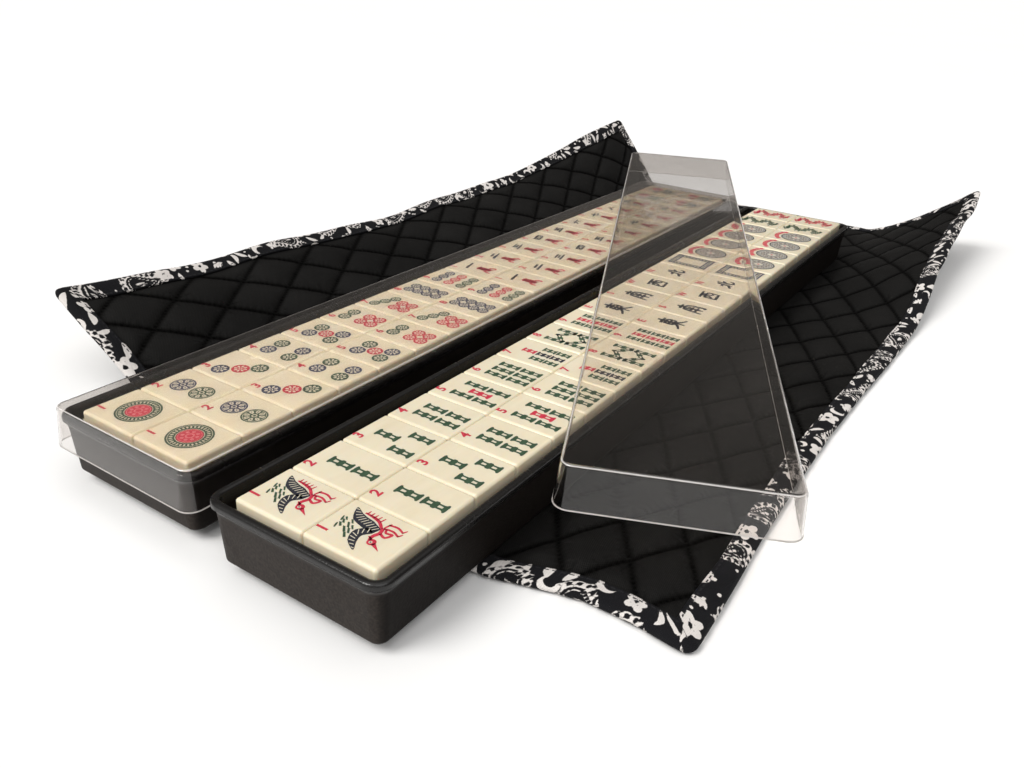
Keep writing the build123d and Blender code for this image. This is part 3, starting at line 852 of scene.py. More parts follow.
class Face:
    def __init__(self):
        self.v, self.f, self.m = [], [], []

    def poly(self, pts, paint, lift=0):
        tris = tessellate_polygon([[Vector((p[0], p[1], 0)) for p in pts]])
        n = len(self.v)
        self.v += [(p[0], p[1], lift) for p in pts]
        for t in tris:
            a, b, c = (pts[k] for k in t)
            if (b[0] - a[0]) * (c[1] - a[1]) - (b[1] - a[1]) * (c[0] - a[0]) < 0:
                t = t[::-1]
            self.f.append([n + k for k in t])
            self.m.append(PAINT_NAMES.index(paint))

    def fan(self, pts, paint, lift=0):
        """A convex outline, anticlockwise."""
        n = len(self.v)
        self.v += [(p[0], p[1], lift) for p in pts]
        self.f.append([n + k for k in range(len(pts))])
        self.m.append(PAINT_NAMES.index(paint))

    def disc(self, c, r, paint, lift=0, n=18, squash=1.0):
        self.fan([(c[0] + r * math.cos(2 * math.pi * k / n), c[1] + squash * r * math.sin(2 * math.pi * k / n)) for k in range(n)], paint, lift)

    def ring(self, c, r0, r1, paint, lift=0, n=24, a0=0.0, a1=2 * math.pi, squash=1.0):
        base = len(self.v)
        closed = a1 - a0 > 6.28
        m = n if closed else n + 1
        for k in range(m):
            a = a0 + (a1 - a0) * k / n
            for r in (r0, r1):
                self.v.append((c[0] + r * math.cos(a), c[1] + squash * r * math.sin(a), lift))
        for k in range(n):
            j = (k + 1) % m
            self.f.append([base + 2 * k, base + 2 * k + 1, base + 2 * j + 1, base + 2 * j])
            self.m.append(PAINT_NAMES.index(paint))

    def stroke(self, pts, width, paint, lift=0, taper=(0.6, 1.0, 0.45), smooth=3):
        """A brush stroke: a strip through the points, its width swelling and thinning."""
        p = [Vector((x, y)) for x, y in pts]
        if len(p) > 2 and smooth > 1:
            q = [p[0]]
            for i in range(len(p) - 1):
                a, b, c, d = p[max(i - 1, 0)], p[i], p[i + 1], p[min(i + 2, len(p) - 1)]
                for k in range(1, smooth + 1):
                    t = k / smooth
                    q.append(0.5 * ((2 * b) + (c - a) * t + (2 * a - 5 * b + 4 * c - d) * t * t + (3 * b - a - 3 * c + d) * t ** 3))
            p = q
        elif len(p) == 2:
            p = [p[0], p[0].lerp(p[1], 0.35), p[0].lerp(p[1], 0.7), p[1]]
        n, base = len(p), len(self.v)
        for i, c in enumerate(p):
            d = (p[min(i + 1, n - 1)] - p[max(i - 1, 0)])
            if d.length < 1e-9:
                d = Vector((1, 0))
            d.normalize()
            t = i / (n - 1)
            w = width / 2 * ((taper[0] + (taper[1] - taper[0]) * t * 2) if t < 0.5 else (taper[1] + (taper[2] - taper[1]) * (t - 0.5) * 2))
            o = Vector((-d.y, d.x)) * w
            end = d * (width * 0.22) * (-1 if i == 0 else 1 if i == n - 1 else 0)
            self.v += [(c.x + end.x - o.x, c.y + end.y - o.y, lift), (c.x + end.x + o.x, c.y + end.y + o.y, lift)]
        for i in range(n - 1):
            k = base + 2 * i
            self.f.append([k, k + 2, k + 3, k + 1])
            self.m.append(PAINT_NAMES.index(paint))

    def line(self, pts, width, paint, lift=0):
        self.stroke(pts, width, paint, lift, (1, 1, 1), 1)

    def loop(self, pts, width, paint, lift=0):
        """A closed outline of even width."""
        n, base = len(pts), len(self.v)
        for i in range(n):
            a, b, c = Vector(pts[i - 1]), Vector(pts[i]), Vector(pts[(i + 1) % n])
            d = ((b - a).normalized() + (c - b).normalized())
            d = d.normalized() if d.length > 1e-6 else (c - b).normalized()
            o = Vector((-d.y, d.x)) * width / 2
            self.v += [(b.x - o.x, b.y - o.y, lift), (b.x + o.x, b.y + o.y, lift)]
        for i in range(n):
            k, j = base + 2 * i, base + 2 * ((i + 1) % n)
            self.f.append([k, j, j + 1, k + 1])
            self.m.append(PAINT_NAMES.index(paint))

    def text(self, s, at, height, paint):
        v, f = glyph(s)
        n = len(self.v)
        self.v += [(at[0] + x * height, at[1] + y * height, 0) for x, y in v]
        self.f += [[n + k for k in t] for t in f]
        self.m += [PAINT_NAMES.index(paint)] * len(f)


_glyphs = {}


def glyph(s):
    """A plain numeral or letter as triangles, one unit high, centred."""
    if s not in _glyphs:
        c = bpy.data.curves.new("glyph", "FONT")
        c.body = s
        c.resolution_u = 3
        c.offset = 0.03
        o = bpy.data.objects.new("glyph", c)
        bpy.context.scene.collection.objects.link(o)
        bpy.context.view_layer.update()
        me = bpy.data.meshes.new_from_object(o)
        me.calc_loop_triangles()
        p = np.array([v.co[:2] for v in me.vertices])
        lo, hi = p.min(0), p.max(0)
        p = (p - (lo + hi) / 2) / (hi[1] - lo[1])
        tris = []
        for t in me.loop_triangles:
            a, b, d = (p[k] for k in t.vertices)
            area = (b[0] - a[0]) * (d[1] - a[1]) - (b[1] - a[1]) * (d[0] - a[0])
            tris.append(list(t.vertices) if area > 0 else list(t.vertices)[::-1])
        bpy.data.objects.remove(o)
        bpy.data.curves.remove(c)
        bpy.data.meshes.remove(me)
        _glyphs[s] = ([tuple(map(float, q)) for q in p], tris)
    return _glyphs[s]


CHARS = {
    "1": [[(8, 48), (30, 52), (92, 50)]],
    "2": [[(24, 70), (76, 72)], [(6, 24), (94, 26)]],
    "3": [[(18, 82), (82, 83)], [(26, 52), (74, 53)], [(6, 18), (94, 20)]],
    "4": [[(14, 78), (17, 16)], [(14, 78), (86, 79), (84, 16)], [(39, 77), (36, 54), (24, 40)], [(60, 77), (59, 50), (74, 42)], [(17, 20), (84, 20)]],
    "5": [[(18, 84), (82, 85)], [(50, 84), (38, 20)], [(24, 54), (72, 56), (68, 20)], [(6, 17), (94, 19)]],
    "6": [[(47, 95), (54, 80)], [(8, 66), (92, 67)], [(38, 50), (16, 14)], [(60, 50), (86, 12)]],
    "7": [[(8, 48), (92, 64)], [(46, 92), (45, 26), (54, 14), (84, 16), (88, 32)]],
    "8": [[(40, 74), (32, 42), (8, 14)], [(54, 82), (66, 44), (93, 16)]],
    "9": [[(12, 62), (66, 65), (62, 24), (72, 12), (88, 16), (92, 32)], [(40, 92), (37, 48), (8, 10)]],
    "wan": [[(10, 88), (90, 89)], [(34, 98), (34, 78)], [(66, 98), (66, 78)], [(27, 74), (27, 47)], [(27, 74), (73, 74), (73, 47)], [(27, 60), (73, 60)],
            [(27, 48), (73, 48)], [(50, 74), (50, 22)], [(14, 36), (14, 2)], [(14, 36), (88, 36), (87, 6), (76, 6)], [(36, 24), (66, 20)], [(60, 28), (70, 12)]],
    "east": [[(14, 80), (86, 81)], [(50, 97), (50, 2)], [(25, 67), (25, 38)], [(25, 67), (75, 67), (75, 38)], [(25, 53), (75, 53)], [(25, 39), (75, 39)],
             [(47, 37), (30, 20), (6, 8)], [(53, 37), (70, 20), (94, 8)]],
    "south": [[(12, 84), (88, 85)], [(50, 98), (50, 70)], [(15, 68), (14, 2)], [(15, 68), (86, 68), (85, 6), (74, 8)], [(36, 62), (43, 50)], [(64, 62), (57, 50)],
              [(28, 44), (72, 44)], [(26, 27), (74, 27)], [(50, 44), (50, 6)]],
    "west": [[(8, 86), (92, 87)], [(18, 64), (20, 8)], [(18, 64), (82, 64), (80, 8)], [(20, 12), (80, 12)], [(42, 86), (40, 50), (28, 34)], [(60, 86), (60, 44), (74, 38)]],
    "north": [[(36, 88), (36, 18)], [(8, 62), (36, 63)], [(6, 20), (36, 34)], [(62, 92), (62, 26), (68, 16), (88, 18), (93, 34)], [(62, 52), (86, 68)]],
}


def char(face, name, at, size, paint, width=0.135, squash=1.0):
    for st in CHARS[name]:
        face.stroke([(at[0] + (x - 50) / 100 * size, at[1] + (y - 50) / 100 * size * squash) for x, y in st], size * width, paint)


NUM = (-6.2, 11.9)


def number(face, n):
    face.text(str(n), NUM, 4.5, "red")


def coin(face, c, r, paint, rich=False):
    """A dot: a filled round with eight pale petals round a small pale ring."""
    face.disc(c, r, paint, 0, n=36 if rich else 24)
    if rich:
        face.ring(c, r * 0.835, r * 0.875, "cream", 1, n=36)
    for k in range(8):
        a = 2 * math.pi * (k + 0.5) / 8
        prof = ((0.36, 0.05), (0.47, 0.125), (0.66, 0.175), (0.76, 0.12), (0.79, 0.0)) if rich else ((0.34, 0.05), (0.55, 0.15), (0.76, 0.08))
        left = [(c[0] + r * (q * math.cos(a) - w * math.sin(a)), c[1] + r * (q * math.sin(a) + w * math.cos(a))) for q, w in prof if w > 0]
        rght = [(c[0] + r * (q * math.cos(a) + w * math.sin(a)), c[1] + r * (q * math.sin(a) - w * math.cos(a))) for q, w in prof]
        face.poly(rght + left[::-1], "cream", 1)
        if rich:
            face.line([(c[0] + r * 0.50 * math.cos(a), c[1] + r * 0.50 * math.sin(a)), (c[0] + r * 0.70 * math.cos(a), c[1] + r * 0.70 * math.sin(a))], r * 0.05, paint, 2)
    face.ring(c, r * 0.13, r * 0.22, "cream", 1, n=16)


def big_coin(face, c, r):
    face.disc(c, r, "green", 0, n=56)
    face.ring(c, r * 0.89, r * 0.915, "cream", 1, n=56)
    for k in range(30):
        a = 2 * math.pi * k / 30
        d = Vector((math.cos(a), math.sin(a)))
        n2 = Vector((-d.y, d.x))
        p = Vector(c) + d * r * 0.765
        face.fan([tuple(p + d * r * 0.085 * math.cos(t) + n2 * r * 0.043 * math.sin(t)) for t in np.linspace(0, 2 * math.pi, 9)[:-1]], "cream", 1)
    face.ring(c, r * 0.575, r * 0.605, "cream", 1, n=48)
    face.disc(c, r * 0.555, "red", 2, n=44)
    face.ring(c, r * 0.475, r * 0.505, "pink", 3, n=40)
    for k in range(8):
        a = 2 * math.pi * (k + 0.5) / 8
        face.disc((c[0] + r * 0.335 * math.cos(a), c[1] + r * 0.335 * math.sin(a)), r * 0.085, "pink", 3, n=12)
    face.ring(c, r * 0.125, r * 0.20, "pink", 3, n=20)


DOTS = {
    1: None,
    2: [(0.2, 4.3, "navy", 5.1), (0.2, -7.0, "green", 5.1)],
    3: [(-5.0, 4.6, "navy", 3.75), (0.2, -1.6, "red", 3.75), (5.4, -7.4, "green", 3.75)],
    4: [(-3.7, 4.7, "navy", 3.65), (4.2, 4.7, "green", 3.65), (-3.7, -8.0, "green", 3.65), (4.2, -8.0, "navy", 3.65)],
    5: [(-3.9, 4.6, "navy", 3.6), (4.1, 4.6, "green", 3.6), (0.1, -2.0, "red", 3.6), (-3.9, -8.5, "green", 3.6), (4.1, -8.5, "navy", 3.6)],
    6: [(-2.8, 6.4, "green", 3.2), (3.6, 6.4, "green", 3.2), (-2.8, -3.6, "red", 3.2), (3.6, -3.6, "red", 3.2), (-2.8, -9.9, "red", 3.2), (3.6, -9.9, "red", 3.2)],
    7: [(-4.9, 7.1, "green", 2.8), (0.3, 4.7, "green", 2.8), (5.6, 2.3, "green", 2.8), (-3.1, -3.9, "red", 3.1), (3.2, -3.9, "red", 3.1), (-3.1, -10.0, "red", 3.1), (3.2, -10.0, "red", 3.1)],
    8: [(a, b, "navy", 2.9) for b in (7.4, 1.6, -4.2, -10.0) for a in (-2.6, 3.5)],
    9: [(a, b, p, 2.85) for b, p in ((6.0, "navy"), (-2.0, "red"), (-10.0, "green")) for a in (-5.2, 0.5, 6.2)],
}


def dots(n):
    f = Face()
    number(f, n)
    if n == 1:
        big_coin(f, (0.4, -0.9), 8.5)
    else:
        for a, b, p, r in DOTS[n]:
            coin(f, (a, b), r, p, rich=n == 2)
    return f


def stick(face, c, length, width, paint, ang=0.0):
    """A bamboo stick along b (turned by ang): filled, flared at the ends, a knot at its middle, pale slits in the two halves."""
    h, w = length / 2, width / 2
    half = [(-1.0, 0.62), (-0.96, 0.95), (-0.84, 1.0), (-0.74, 0.72), (-0.62, 0.62), (-0.20, 0.62), (-0.12, 0.86), (0.12, 0.86), (0.20, 0.62), (0.62, 0.62),
            (0.74, 0.72), (0.84, 1.0), (0.96, 0.95), (1.0, 0.62)]
    co, si = math.cos(ang), math.sin(ang)

    def at(x, y):
        return (c[0] + x * co - y * si, c[1] + x * si + y * co)

    face.poly([at(x * w, t * h) for t, x in half] + [at(-x * w, t * h) for t, x in half[::-1]], paint)
    for s in (-1, 1):
        face.fan([at(-0.20 * w, s * 0.44 * h - 0.19 * h), at(0.20 * w, s * 0.44 * h - 0.19 * h), at(0.26 * w, s * 0.44 * h + 0.19 * h), at(-0.26 * w, s * 0.44 * h + 0.19 * h)], "cream", 1)


BAMS = {
    2: [(0.0, 3.3, "green"), (0.0, -7.6, "green")],
    3: [(0.1, 3.5, "green"), (-5.8, -7.7, "green"), (5.8, -7.7, "green")],
    4: [(-3.6, 2.7, "green"), (2.9, 2.7, "green"), (-3.6, -8.1, "green"), (2.9, -8.1, "green")],
    5: [(-5.1, 2.4, "green"), (5.0, 2.4, "green"), (0.0, -3.1, "red"), (-5.1, -8.6, "green"), (5.0, -8.6, "green")],
    6: [(a, b, "green") for b in (2.2, -8.7) for a in (-5.3, 0.0, 5.3)],
    7: [(0.3, 4.7, "red")] + [(a, b, "green" if abs(a - 0.3) > 1 else "black") for b in (-2.7, -9.8) for a in (-5.3, 0.3, 5.9)],
    9: [(a, b, "red" if abs(a - 0.3) < 1 else "green") for b in (4.1, -3.2, -10.4) for a in (-5.3, 0.3, 5.9)],
}


def bams(n):
    f = Face()
    number(f, n)
    if n == 1:
        bird(f)
    elif n == 8:
        for b in (2.7, -8.2):
            for a in (-6.0, 6.2):
                stick(f, (a, b), 9.8, 3.9, "green")
        for k in (-1, 1):
            for s in (-1, 1):
                stick(f, (0.1 + 2.75 * k, -2.75 + s * 4.2), 9.6, 3.3, "green", k * s * 0.88)
    else:
        length, width = {2: (10.0, 4.7), 3: (10.0, 4.7), 4: (9.8, 4.5), 5: (10.0, 4.3), 6: (9.9, 4.3), 7: (6.6, 4.3), 9: (6.5, 4.4)}[n]
        for a, b, p in BAMS[n]:
            stick(f, (a, b), length, width, p)
    return f


def blade(f, spine, widths, paint, slits, slit_w=0.30, lean=0.5):
    """A feathered shape: filled along a bent spine, cut by pale slits."""
    p = [Vector(q) for q in spine]
    q = []
    for i in range(len(p) - 1):
        a, b, c, d = p[max(i - 1, 0)], p[i], p[i + 1], p[min(i + 2, len(p) - 1)]
        for k in range(4):
            t = k / 4
            q.append(0.5 * ((2 * b) + (c - a) * t + (2 * a - 5 * b + 4 * c - d) * t * t + (3 * b - a - 3 * c + d) * t ** 3))
    q.append(p[-1])
    n = len(q)
    tt = np.linspace(0, 1, n)
    ws = np.interp(tt, np.linspace(0, 1, len(widths)), widths)
    left, right, frame2 = [], [], []
    for i in range(n):
        d = (q[min(i + 1, n - 1)] - q[max(i - 1, 0)]).normalized()
        o = Vector((-d.y, d.x))
        left.append(tuple(q[i] + o * ws[i] / 2))
        right.append(tuple(q[i] - o * ws[i] / 2))
        frame2.append((q[i], d, o, ws[i]))
    for i in range(n - 1):
        f.poly([right[i], right[i + 1], left[i + 1], left[i]], paint, 0)
    for s in range(slits):
        t = 0.10 + 0.80 * s / max(slits - 1, 1)
        i = min(int(t * (n - 1)), n - 2)
        u = t * (n - 1) - i
        c, d, o, w = frame2[i]
        c = c.lerp(frame2[i + 1][0], u)
        w = w * (1 - u) + frame2[i + 1][3] * u
        a0, a1 = c - o * w * 0.36 - d * lean * 0.4, c + o * w * 0.20 + d * lean
        f.line([tuple(a0), tuple(a1)], slit_w, "cream", 1)


def bird(f):
    """A small bird of our own: two barred wings, leaf-green tail strokes, red crest, head and legs."""
    blade(f, [(2.2, -2.6), (3.3, 2.0), (4.6, 6.8), (8.2, 10.6)], (3.0, 4.6, 4.0, 0.5), "black", 10)
    blade(f, [(1.6, -1.4), (-1.4, 1.4), (-5.2, 0.4), (-8.6, -3.0)], (2.6, 3.8, 3.0, 0.5), "black", 8)
    for k, (x, y, s) in enumerate(((-5.6, 3.4, 1.0), (-3.6, 5.4, 1.05), (-2.2, 8.3, 0.8))):
        f.stroke([(x, y), (x + 1.9 * s, y + 1.7 * s), (x + 2.0 * s, y + 0.3 * s), (x + 4.1 * s, y + 1.9 * s), (x + 4.2 * s, y + 0.6 * s), (x + 5.6 * s, y + 1.9 * s)], 0.85, "green", 0, (1, 1, 0.8), 1)
    f.stroke([(-3.6, 9.4), (-1.6, 10.1)], 0.8, "green")
    f.stroke([(0.2, 10.2), (2.2, 10.9)], 0.8, "green")
    f.stroke([(4.3, -2.6), (6.4, 0.2), (7.2, 3.6), (7.4, 6.4)], 1.1, "red", 0, (0.9, 1.1, 0.6), 4)
    for k in range(5):
        f.stroke([(6.4 + 0.24 * k, -0.2 + 1.5 * k), (8.6 + 0.10 * k, -0.6 + 1.6 * k)], 0.62, "red")
    f.stroke([(4.4, -3.2), (2.0, -3.9), (-0.4, -3.2), (-2.2, -3.6)], 1.3, "red", 0, (0.9, 1.1, 0.8), 4)
    f.disc((-2.7, -4.9), 1.55, "red", 0, n=16)
    f.disc((-2.9, -4.7), 0.62, "cream", 1, n=10)
    f.disc((-2.9, -4.7), 0.30, "black", 2, n=8)
    f.poly([(-3.7, -5.4), (-5.0, -9.6), (-2.3, -6.2)], "red")
    f.stroke([(-1.6, -3.9), (-1.0, -2.3)], 0.7, "red")
    f.stroke([(1.9, -4.4), (1.2, -6.6), (3.6, -7.6), (3.2, -5.4), (4.6, -4.4)], 0.95, "red", 0, (1, 1, 0.8), 4)
    for x in (4.6, 6.9):
        f.stroke([(x, -3.6), (x + 0.5, -6.6), (x - 0.6, -9.4)], 0.85, "red", 0, (1, 1, 0.8), 3)
        f.stroke([(x - 0.6, -9.4), (x + 0.9, -10.0)], 0.7, "red")
    f.stroke([(5.0, -3.3), (7.6, -3.9)], 0.8, "red")


def slant(f, name, at, w, h, paint, width, top=1.0, rise=0.0):
    """A character fitted into w x h, narrowed towards its top and rising to the right."""
    for st in CHARS[name]:
        pts = []
        for x, y in st:
            u, v = (x - 50) / 100, (y - 50) / 100
            k = top + (1 - top) * (0.5 - v)
            pts.append((at[0] + u * w * k, at[1] + v * h + rise * u * w * k))
        f.stroke(pts, width, paint, 0, (1.0, 1.05, 0.7))


def craks(n):
    f = Face()
    number(f, n)
    slant(f, str(n), (0.9, 6.1), 10.6, 5.6 if n not in (1,) else 4.0, "black", 1.45 if n < 3 else 1.15, 1.0, 0.24)
    slant(f, "wan", (0.9, -4.7), 11.2, 10.6, "red", 1.25, 0.42, 0.06)
    return f


def winds(letter, name):
    f = Face()
    f.text(letter, (-6.4, 11.5), 4.3, "red")
    w, h, top, rise = {"east": (13.6, 14.4, 0.62, 0.03), "south": (12.2, 14.6, 0.52, 0.03), "west": (12.2, 11.6, 0.86, 0.12), "north": (13.0, 11.4, 0.60, 0.16)}[name]
    slant(f, name, (0.8, -0.9), w, h, "black", 1.5, top, rise)
    return f


def box_line(f, w, h, width, paint, c, lift=0):
    p = [(c[0] - w, c[1] - h), (c[0] + w, c[1] - h), (c[0] + w, c[1] + h), (c[0] - w, c[1] + h)]
    for i in range(4):
        a, b = Vector(p[i]), Vector(p[(i + 1) % 4])
        d = (b - a).normalized() * width * 0.56
        f.line([tuple(a - d), tuple(b + d)], width, paint, lift)


def soap():
    f = Face()
    c = (1.0, 0.0)
    box_line(f, 8.4, 11.0, 0.95, "navy", c)
    box_line(f, 5.6, 8.2, 0.85, "navy", c)
    for k in range(-4, 5):
        for s in (-1, 1):
            f.disc((c[0] + k * 1.9, c[1] + s * 9.6), 0.66, "green" if k % 2 else "navy", 0, n=8)
    for k in range(-4, 5):
        for s in (-1, 1):
            f.disc((c[0] + s * 7.0, c[1] + k * 2.05), 0.66, "green" if k % 2 else "navy", 0, n=8)
    return f


def serpent(paint):
    """A long coiling creature seen from the side: thick waved body, back fins, four short legs."""
    f = Face()
    body = [(-2.0, 10.6), (2.2, 10.2), (4.2, 7.6), (1.4, 5.2), (-1.8, 3.4), (-2.4, 0.8), (0.8, -1.0), (3.8, -2.6), (3.4, -5.6), (0.2, -7.2), (-2.8, -8.6), (-1.0, -10.6), (3.6, -10.8)]
    blade(f, body, (2.4, 3.2, 3.4, 3.2, 3.0, 2.6, 1.0), paint, 22, 0.26, 0.3)
    for i, (x, y) in enumerate(body[1:-1]):
        s = 1 if x > 0.6 else -1
        f.stroke([(x + 1.0 * s, y + 0.2), (x + 2.9 * s, y + 1.3), (x + 3.9 * s, y + 0.6)], 1.15, paint)
        f.stroke([(x - 0.8 * s, y - 0.3), (x - 3.0 * s, y - 1.1), (x - 4.0 * s, y - 0.5)], 0.95, paint)
    f.disc((-3.0, 10.9), 1.9, paint, 0, n=16)
    f.disc((-3.2, 11.2), 0.5, "cream", 1, n=8)
    f.poly([(-4.2, 11.9), (-6.8, 11.0), (-4.2, 9.6)], paint)
    f.stroke([(-2.4, 12.2), (-0.8, 13.4), (0.8, 13.0)], 0.85, paint)
    return f


def flower(n):
    """A sprig: five-petalled blossom, bud, stem and leaves, numbered."""
    f = Face()
    f.text(str(n), NUM, 4.2, "red" if n % 2 else "navy")
    f.stroke([(-3.5, -11.4), (-1.0, -6.4), (0.5, -0.6), (2.2, 3.4)], 1.1, "green", 0, (1, 0.9, 0.6), 5)
    f.stroke([(-1.0, -6.4), (-4.0, -2.8), (-5.6, 1.2)], 0.8, "green", 0, (1, 0.9, 0.6), 4)
    for (x, y, a, s) in ((1.9, -6.2, 0.5, 1.2), (3.4, -2.0, 0.1, 1.1), (-4.8, -7.0, 2.6, 1.1), (-3.4, -1.8, 2.2, 0.9), (3.4, -9.8, -0.2, 1.0)):
        d, n2 = Vector((math.cos(a), math.sin(a))), Vector((-math.sin(a), math.cos(a)))
        pts = [Vector((x, y)) + d * t * 2.8 * s + n2 * w * 1.3 * s for t, w in ((-1, 0), (-0.4, -0.8), (0.4, -0.8), (1, 0), (0.4, 0.8), (-0.4, 0.8))]
        f.fan([tuple(p) for p in pts], "green")
    for c, r, p in (((2.6, 5.0), 4.4, "red"), ((-5.4, 3.0), 2.4, "navy" if n % 2 else "red")):
        for k in range(5):
            a = 2 * math.pi * k / 5 + 0.3
            f.disc((c[0] + r * 0.56 * math.cos(a), c[1] + r * 0.56 * math.sin(a)), r * 0.40, p, 0, n=14)
        f.disc(c, r * 0.26, "navy" if p == "red" else "red", 1, n=12)
        f.disc(c, r * 0.12, "cream", 2, n=8)
    return f


def joker():
    """A plain rosette in an oval, under a red arc of short blocks."""
    f = Face()
    c = (1.2, -2.2)
    f.disc(c, 8.9, "pale", 0, n=44, squash=1.04)
    f.ring(c, 8.35, 9.1, "black", 1, n=44, squash=1.04)
    f.ring(c, 7.45, 7.8, "brown", 1, n=40, squash=1.04)
    for k in range(12):
        a = 2 * math.pi * k / 12
        f.ring((c[0] + 5.4 * math.cos(a), c[1] + 5.6 * math.sin(a)), 0.80, 1.25, "brown", 1, n=12)
        f.disc((c[0] + 5.4 * math.cos(a), c[1] + 5.6 * math.sin(a)), 0.5, "cream", 1, n=8)
        a += math.pi / 12
        f.line([(c[0] + 3.6 * math.cos(a), c[1] + 3.8 * math.sin(a)), (c[0] + 7.2 * math.cos(a), c[1] + 7.5 * math.sin(a))], 0.5, "brown", 1)
    f.ring(c, 2.8, 3.4, "brown", 1, n=28, squash=1.04)
    for k in range(6):
        a = 2 * math.pi * k / 6
        f.disc((c[0] + 1.6 * math.cos(a), c[1] + 1.7 * math.sin(a)), 0.66, "cream", 1, n=10)
    f.disc(c, 0.75, "red", 1, n=10)
    for k in range(7):
        a0 = math.pi / 2 - 0.86 + k * 0.252
        f.ring((1.2, -1.6), 10.4, 13.2, "red", 0, n=4, a0=a0, a1=a0 + 0.205)
    return f


FACES = {}
for i in range(9):
    FACES["dot_%d" % (i + 1)] = ("a", [i], dots(i + 1))
    FACES["crak_%d" % (i + 1)] = ("a", [9 + i], craks(i + 1))
    FACES["bam_%d" % (i + 1)] = ("b", [i], bams(i + 1))
FACES["flower_tiles"] = ("a", [18, 19], None)
for i, (l, w) in enumerate((("E", "east"), ("S", "south"), ("W", "west"), ("N", "north"))):
    FACES["wind_" + w] = ("b", [9 + i], winds(l, w))
FACES["dragon_white"] = ("b", [13], soap())
FACES["joker_tiles"] = ("b", [14, 15, 16, 17], joker())
FACES["dragon_green"] = ("b", [18], serpent("green"))
FACES["dragon_red"] = ("b", [19], serpent("red"))

rng = np.random.default_rng(3)
groups = {}
for node, (tray, rows, face) in FACES.items():
    for row in rows:
        for col, sx in enumerate((-1, 1)):
            fc = face if face is not None else flower(1 + (row - 18) * 2 + col)
            bx, by = BLOCKS[tray]
            cx, cy = bx + sx * 15.0, by + (row - 9.5) * 24.0
            v = np.array(fc.v, float)
            ja, jb, jr = rng.normal(0, 0.10), rng.normal(0, 0.10), rng.normal(0, 0.006)
            a, b = v[:, 0] * math.cos(jr) - v[:, 1] * math.sin(jr) + ja, v[:, 0] * math.sin(jr) + v[:, 1] * math.cos(jr) + jb
            w = np.stack([cx - b, cy + a, TILE_TOP + 0.03 + 0.02 * v[:, 2]], axis=1)
            groups.setdefault(node, []).append((w, fc.f, fc.m))

BODY = {n: b for b, ns in frame["record"]["behaviour"]["bodies"].items() for n in ns}
by_body = {}
for node, parts in groups.items():
    by_body.setdefault(BODY[node], []).extend(parts)
for body, parts in by_body.items():
    verts, faces, mats, n = [], [], [], 0
    for w, f, m in parts:
        verts.append(w)
        faces += [[n + k for k in q] for q in f]
        mats += m
        n += len(w)
    used = sorted(set(mats))
    ob = mesh_object("faces_" + body, np.concatenate(verts), faces, [PAINTS[PAINT_NAMES[k]] for k in used], [used.index(k) for k in mats], smooth=False)
    sol = ob.modifiers.new("thick", "SOLIDIFY")
    sol.thickness, sol.offset = 0.00004, -1.0
    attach(ob, body)


# ---------------------------------------------------------------- cut edges of the covers
COVER_HALF, COVER_RAD = (39.9, 248.4), 5.8


def cover_rim(name, body, place):
    """A closed frosted ring over the open edge of a cover, pale partly as a painted highlight along it; place maps (x,
    y, up) in the cover's own frame to the row frame.
    """
    path = []
    hx, hy = COVER_HALF
    for sx, sy, a0 in ((1, 1, 0), (-1, 1, 90), (-1, -1, 180), (1, -1, 270)):
        for k in range(9):
            a = math.radians(a0 + 90 * k / 8)
            path.append((sx * (hx - COVER_RAD), sy * (hy - COVER_RAD), math.cos(a), math.sin(a)))
    section = [(0.05, 0.22), (0.08, 0.06), (0.03, -0.05), (-0.30, -0.07), (-0.60, -0.04), (-0.66, 0.22)]
    verts = []
    for cx, cy, nx, ny in path:
        for out, up_ in section:
            verts.append(place(cx + (COVER_RAD + out) * nx, cy + (COVER_RAD + out) * ny, up_))
    m, n = len(path), len(section)
    faces = []
    for i in range(m):
        j = (i + 1) % m
        for k in range(n):
            l = (k + 1) % n
            faces.append([i * n + k, i * n + l, j * n + l, j * n + k])
    ob = mesh_object(name, verts, faces, [M_CUT])
    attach(ob, body)
    return ob


cover_rim("cover_a_cut_edge", "cover_a", lambda x, y, z: (-32.2 + x, -75.7 + y, 16.3 + z))
YAW, TILT = math.radians(24.36), 0.0111
ct, st = math.cos(TILT), math.sin(TILT)
rim_z = 31.9 + (89.0 - 45.68) * TILT
ax = Vector((ct * math.cos(YAW), math.sin(YAW), -st * math.cos(YAW))).normalized()
az = Vector((st, 0, ct)).normalized()
ay = az.cross(ax).normalized()
at0 = Vector((45.68, -22.14, rim_z))
cover_rim("cover_b_cut_edge", "cover_b", lambda x, y, z: tuple(at0 + ax * x + ay * y + az * z))


# ---------------------------------------------------------------- floor and light
def floor_material():
    g = Net("pale_floor")
    n = g.noise(g.coords(), 3.0, 3.0)
    g.principled(Base_Color=g.mix(n, (0.86, 0.86, 0.86), (0.89, 0.89, 0.89)), Roughness=0.85, Specular_IOR_Level=0.15)
    return g.mat


floor = mesh_object("floor", [(-40000, -40000, 0), (40000, -40000, 0), (40000, 40000, 0), (-40000, 40000, 0)], [[0, 1, 2, 3]], [floor_material()], smooth=False)
floor.location.z = -0.0002

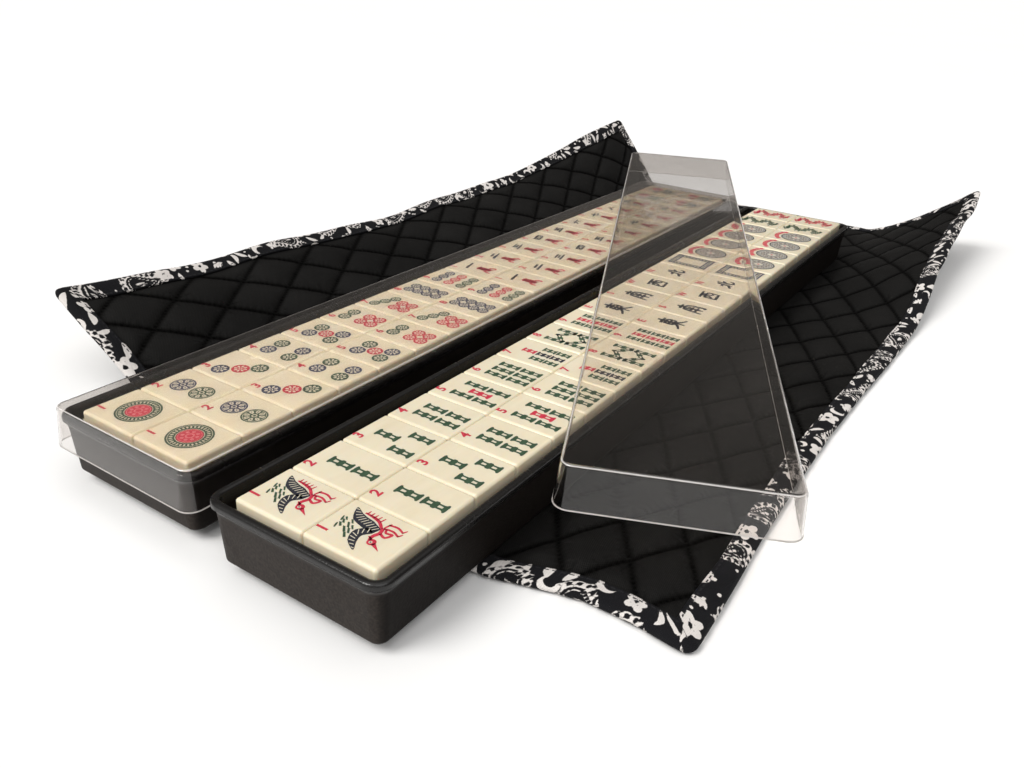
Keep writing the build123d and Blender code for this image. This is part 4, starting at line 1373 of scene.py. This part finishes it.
world = bpy.data.worlds.new("studio")
bpy.context.scene.world = world
world.use_nodes = True
wt = world.node_tree
bg = wt.nodes["Background"]
bg.inputs[1].default_value = 1.0
# a dim room with a wide soft light overhead and a pale wall behind the viewer
wc = wt.nodes.new("ShaderNodeTexCoord")
wx = wt.nodes.new("ShaderNodeSeparateXYZ")
wt.links.new(wc.outputs["Generated"], wx.inputs[0])
top = wt.nodes.new("ShaderNodeMapRange")
top.interpolation_type = "SMOOTHSTEP"
wt.links.new(wx.outputs[2], top.inputs[0])
for i, v in enumerate((0.62, 0.95, 0.0, 1.0)):
    top.inputs[1 + i].default_value = v
front = wt.nodes.new("ShaderNodeMapRange")
front.interpolation_type = "SMOOTHSTEP"
wt.links.new(wx.outputs[1], front.inputs[0])
for i, v in enumerate((-0.1, -0.9, 0.0, 0.55)):
    front.inputs[1 + i].default_value = v
both = wt.nodes.new("ShaderNodeMath")
both.operation, both.use_clamp = "ADD", True
wt.links.new(top.outputs[0], both.inputs[0])
wt.links.new(front.outputs[0], both.inputs[1])
wm = wt.nodes.new("ShaderNodeMix")
wm.data_type = "RGBA"
wt.links.new(both.outputs[0], wm.inputs[0])
wm.inputs[6].default_value = (0.13, 0.12, 0.11, 1)
wm.inputs[7].default_value = (1.0, 0.985, 0.965, 1)
wt.links.new(wm.outputs[2], bg.inputs[0])


def sun(name, towards, strength, spread, colour=(1, 1, 1)):
    """A far, wide lamp: even over the whole floor."""
    d = bpy.data.lights.new(name, "SUN")
    d.energy, d.angle, d.color = strength, math.radians(spread), colour
    o = bpy.data.objects.new(name, d)
    bpy.context.scene.collection.objects.link(o)
    o.rotation_mode = "QUATERNION"
    o.rotation_quaternion = Vector(towards).to_track_quat("-Z", "Y")
    return o


sun("key", (0.35, 0.75, -1.0), 2.1, 30, (1.0, 0.985, 0.96))
sun("fill", (-0.8, 0.35, -1.0), 0.7, 50, (0.97, 0.985, 1.0))

bpy.context.scene.view_settings.view_transform = "Standard"
bpy.context.scene.view_settings.look = "None"
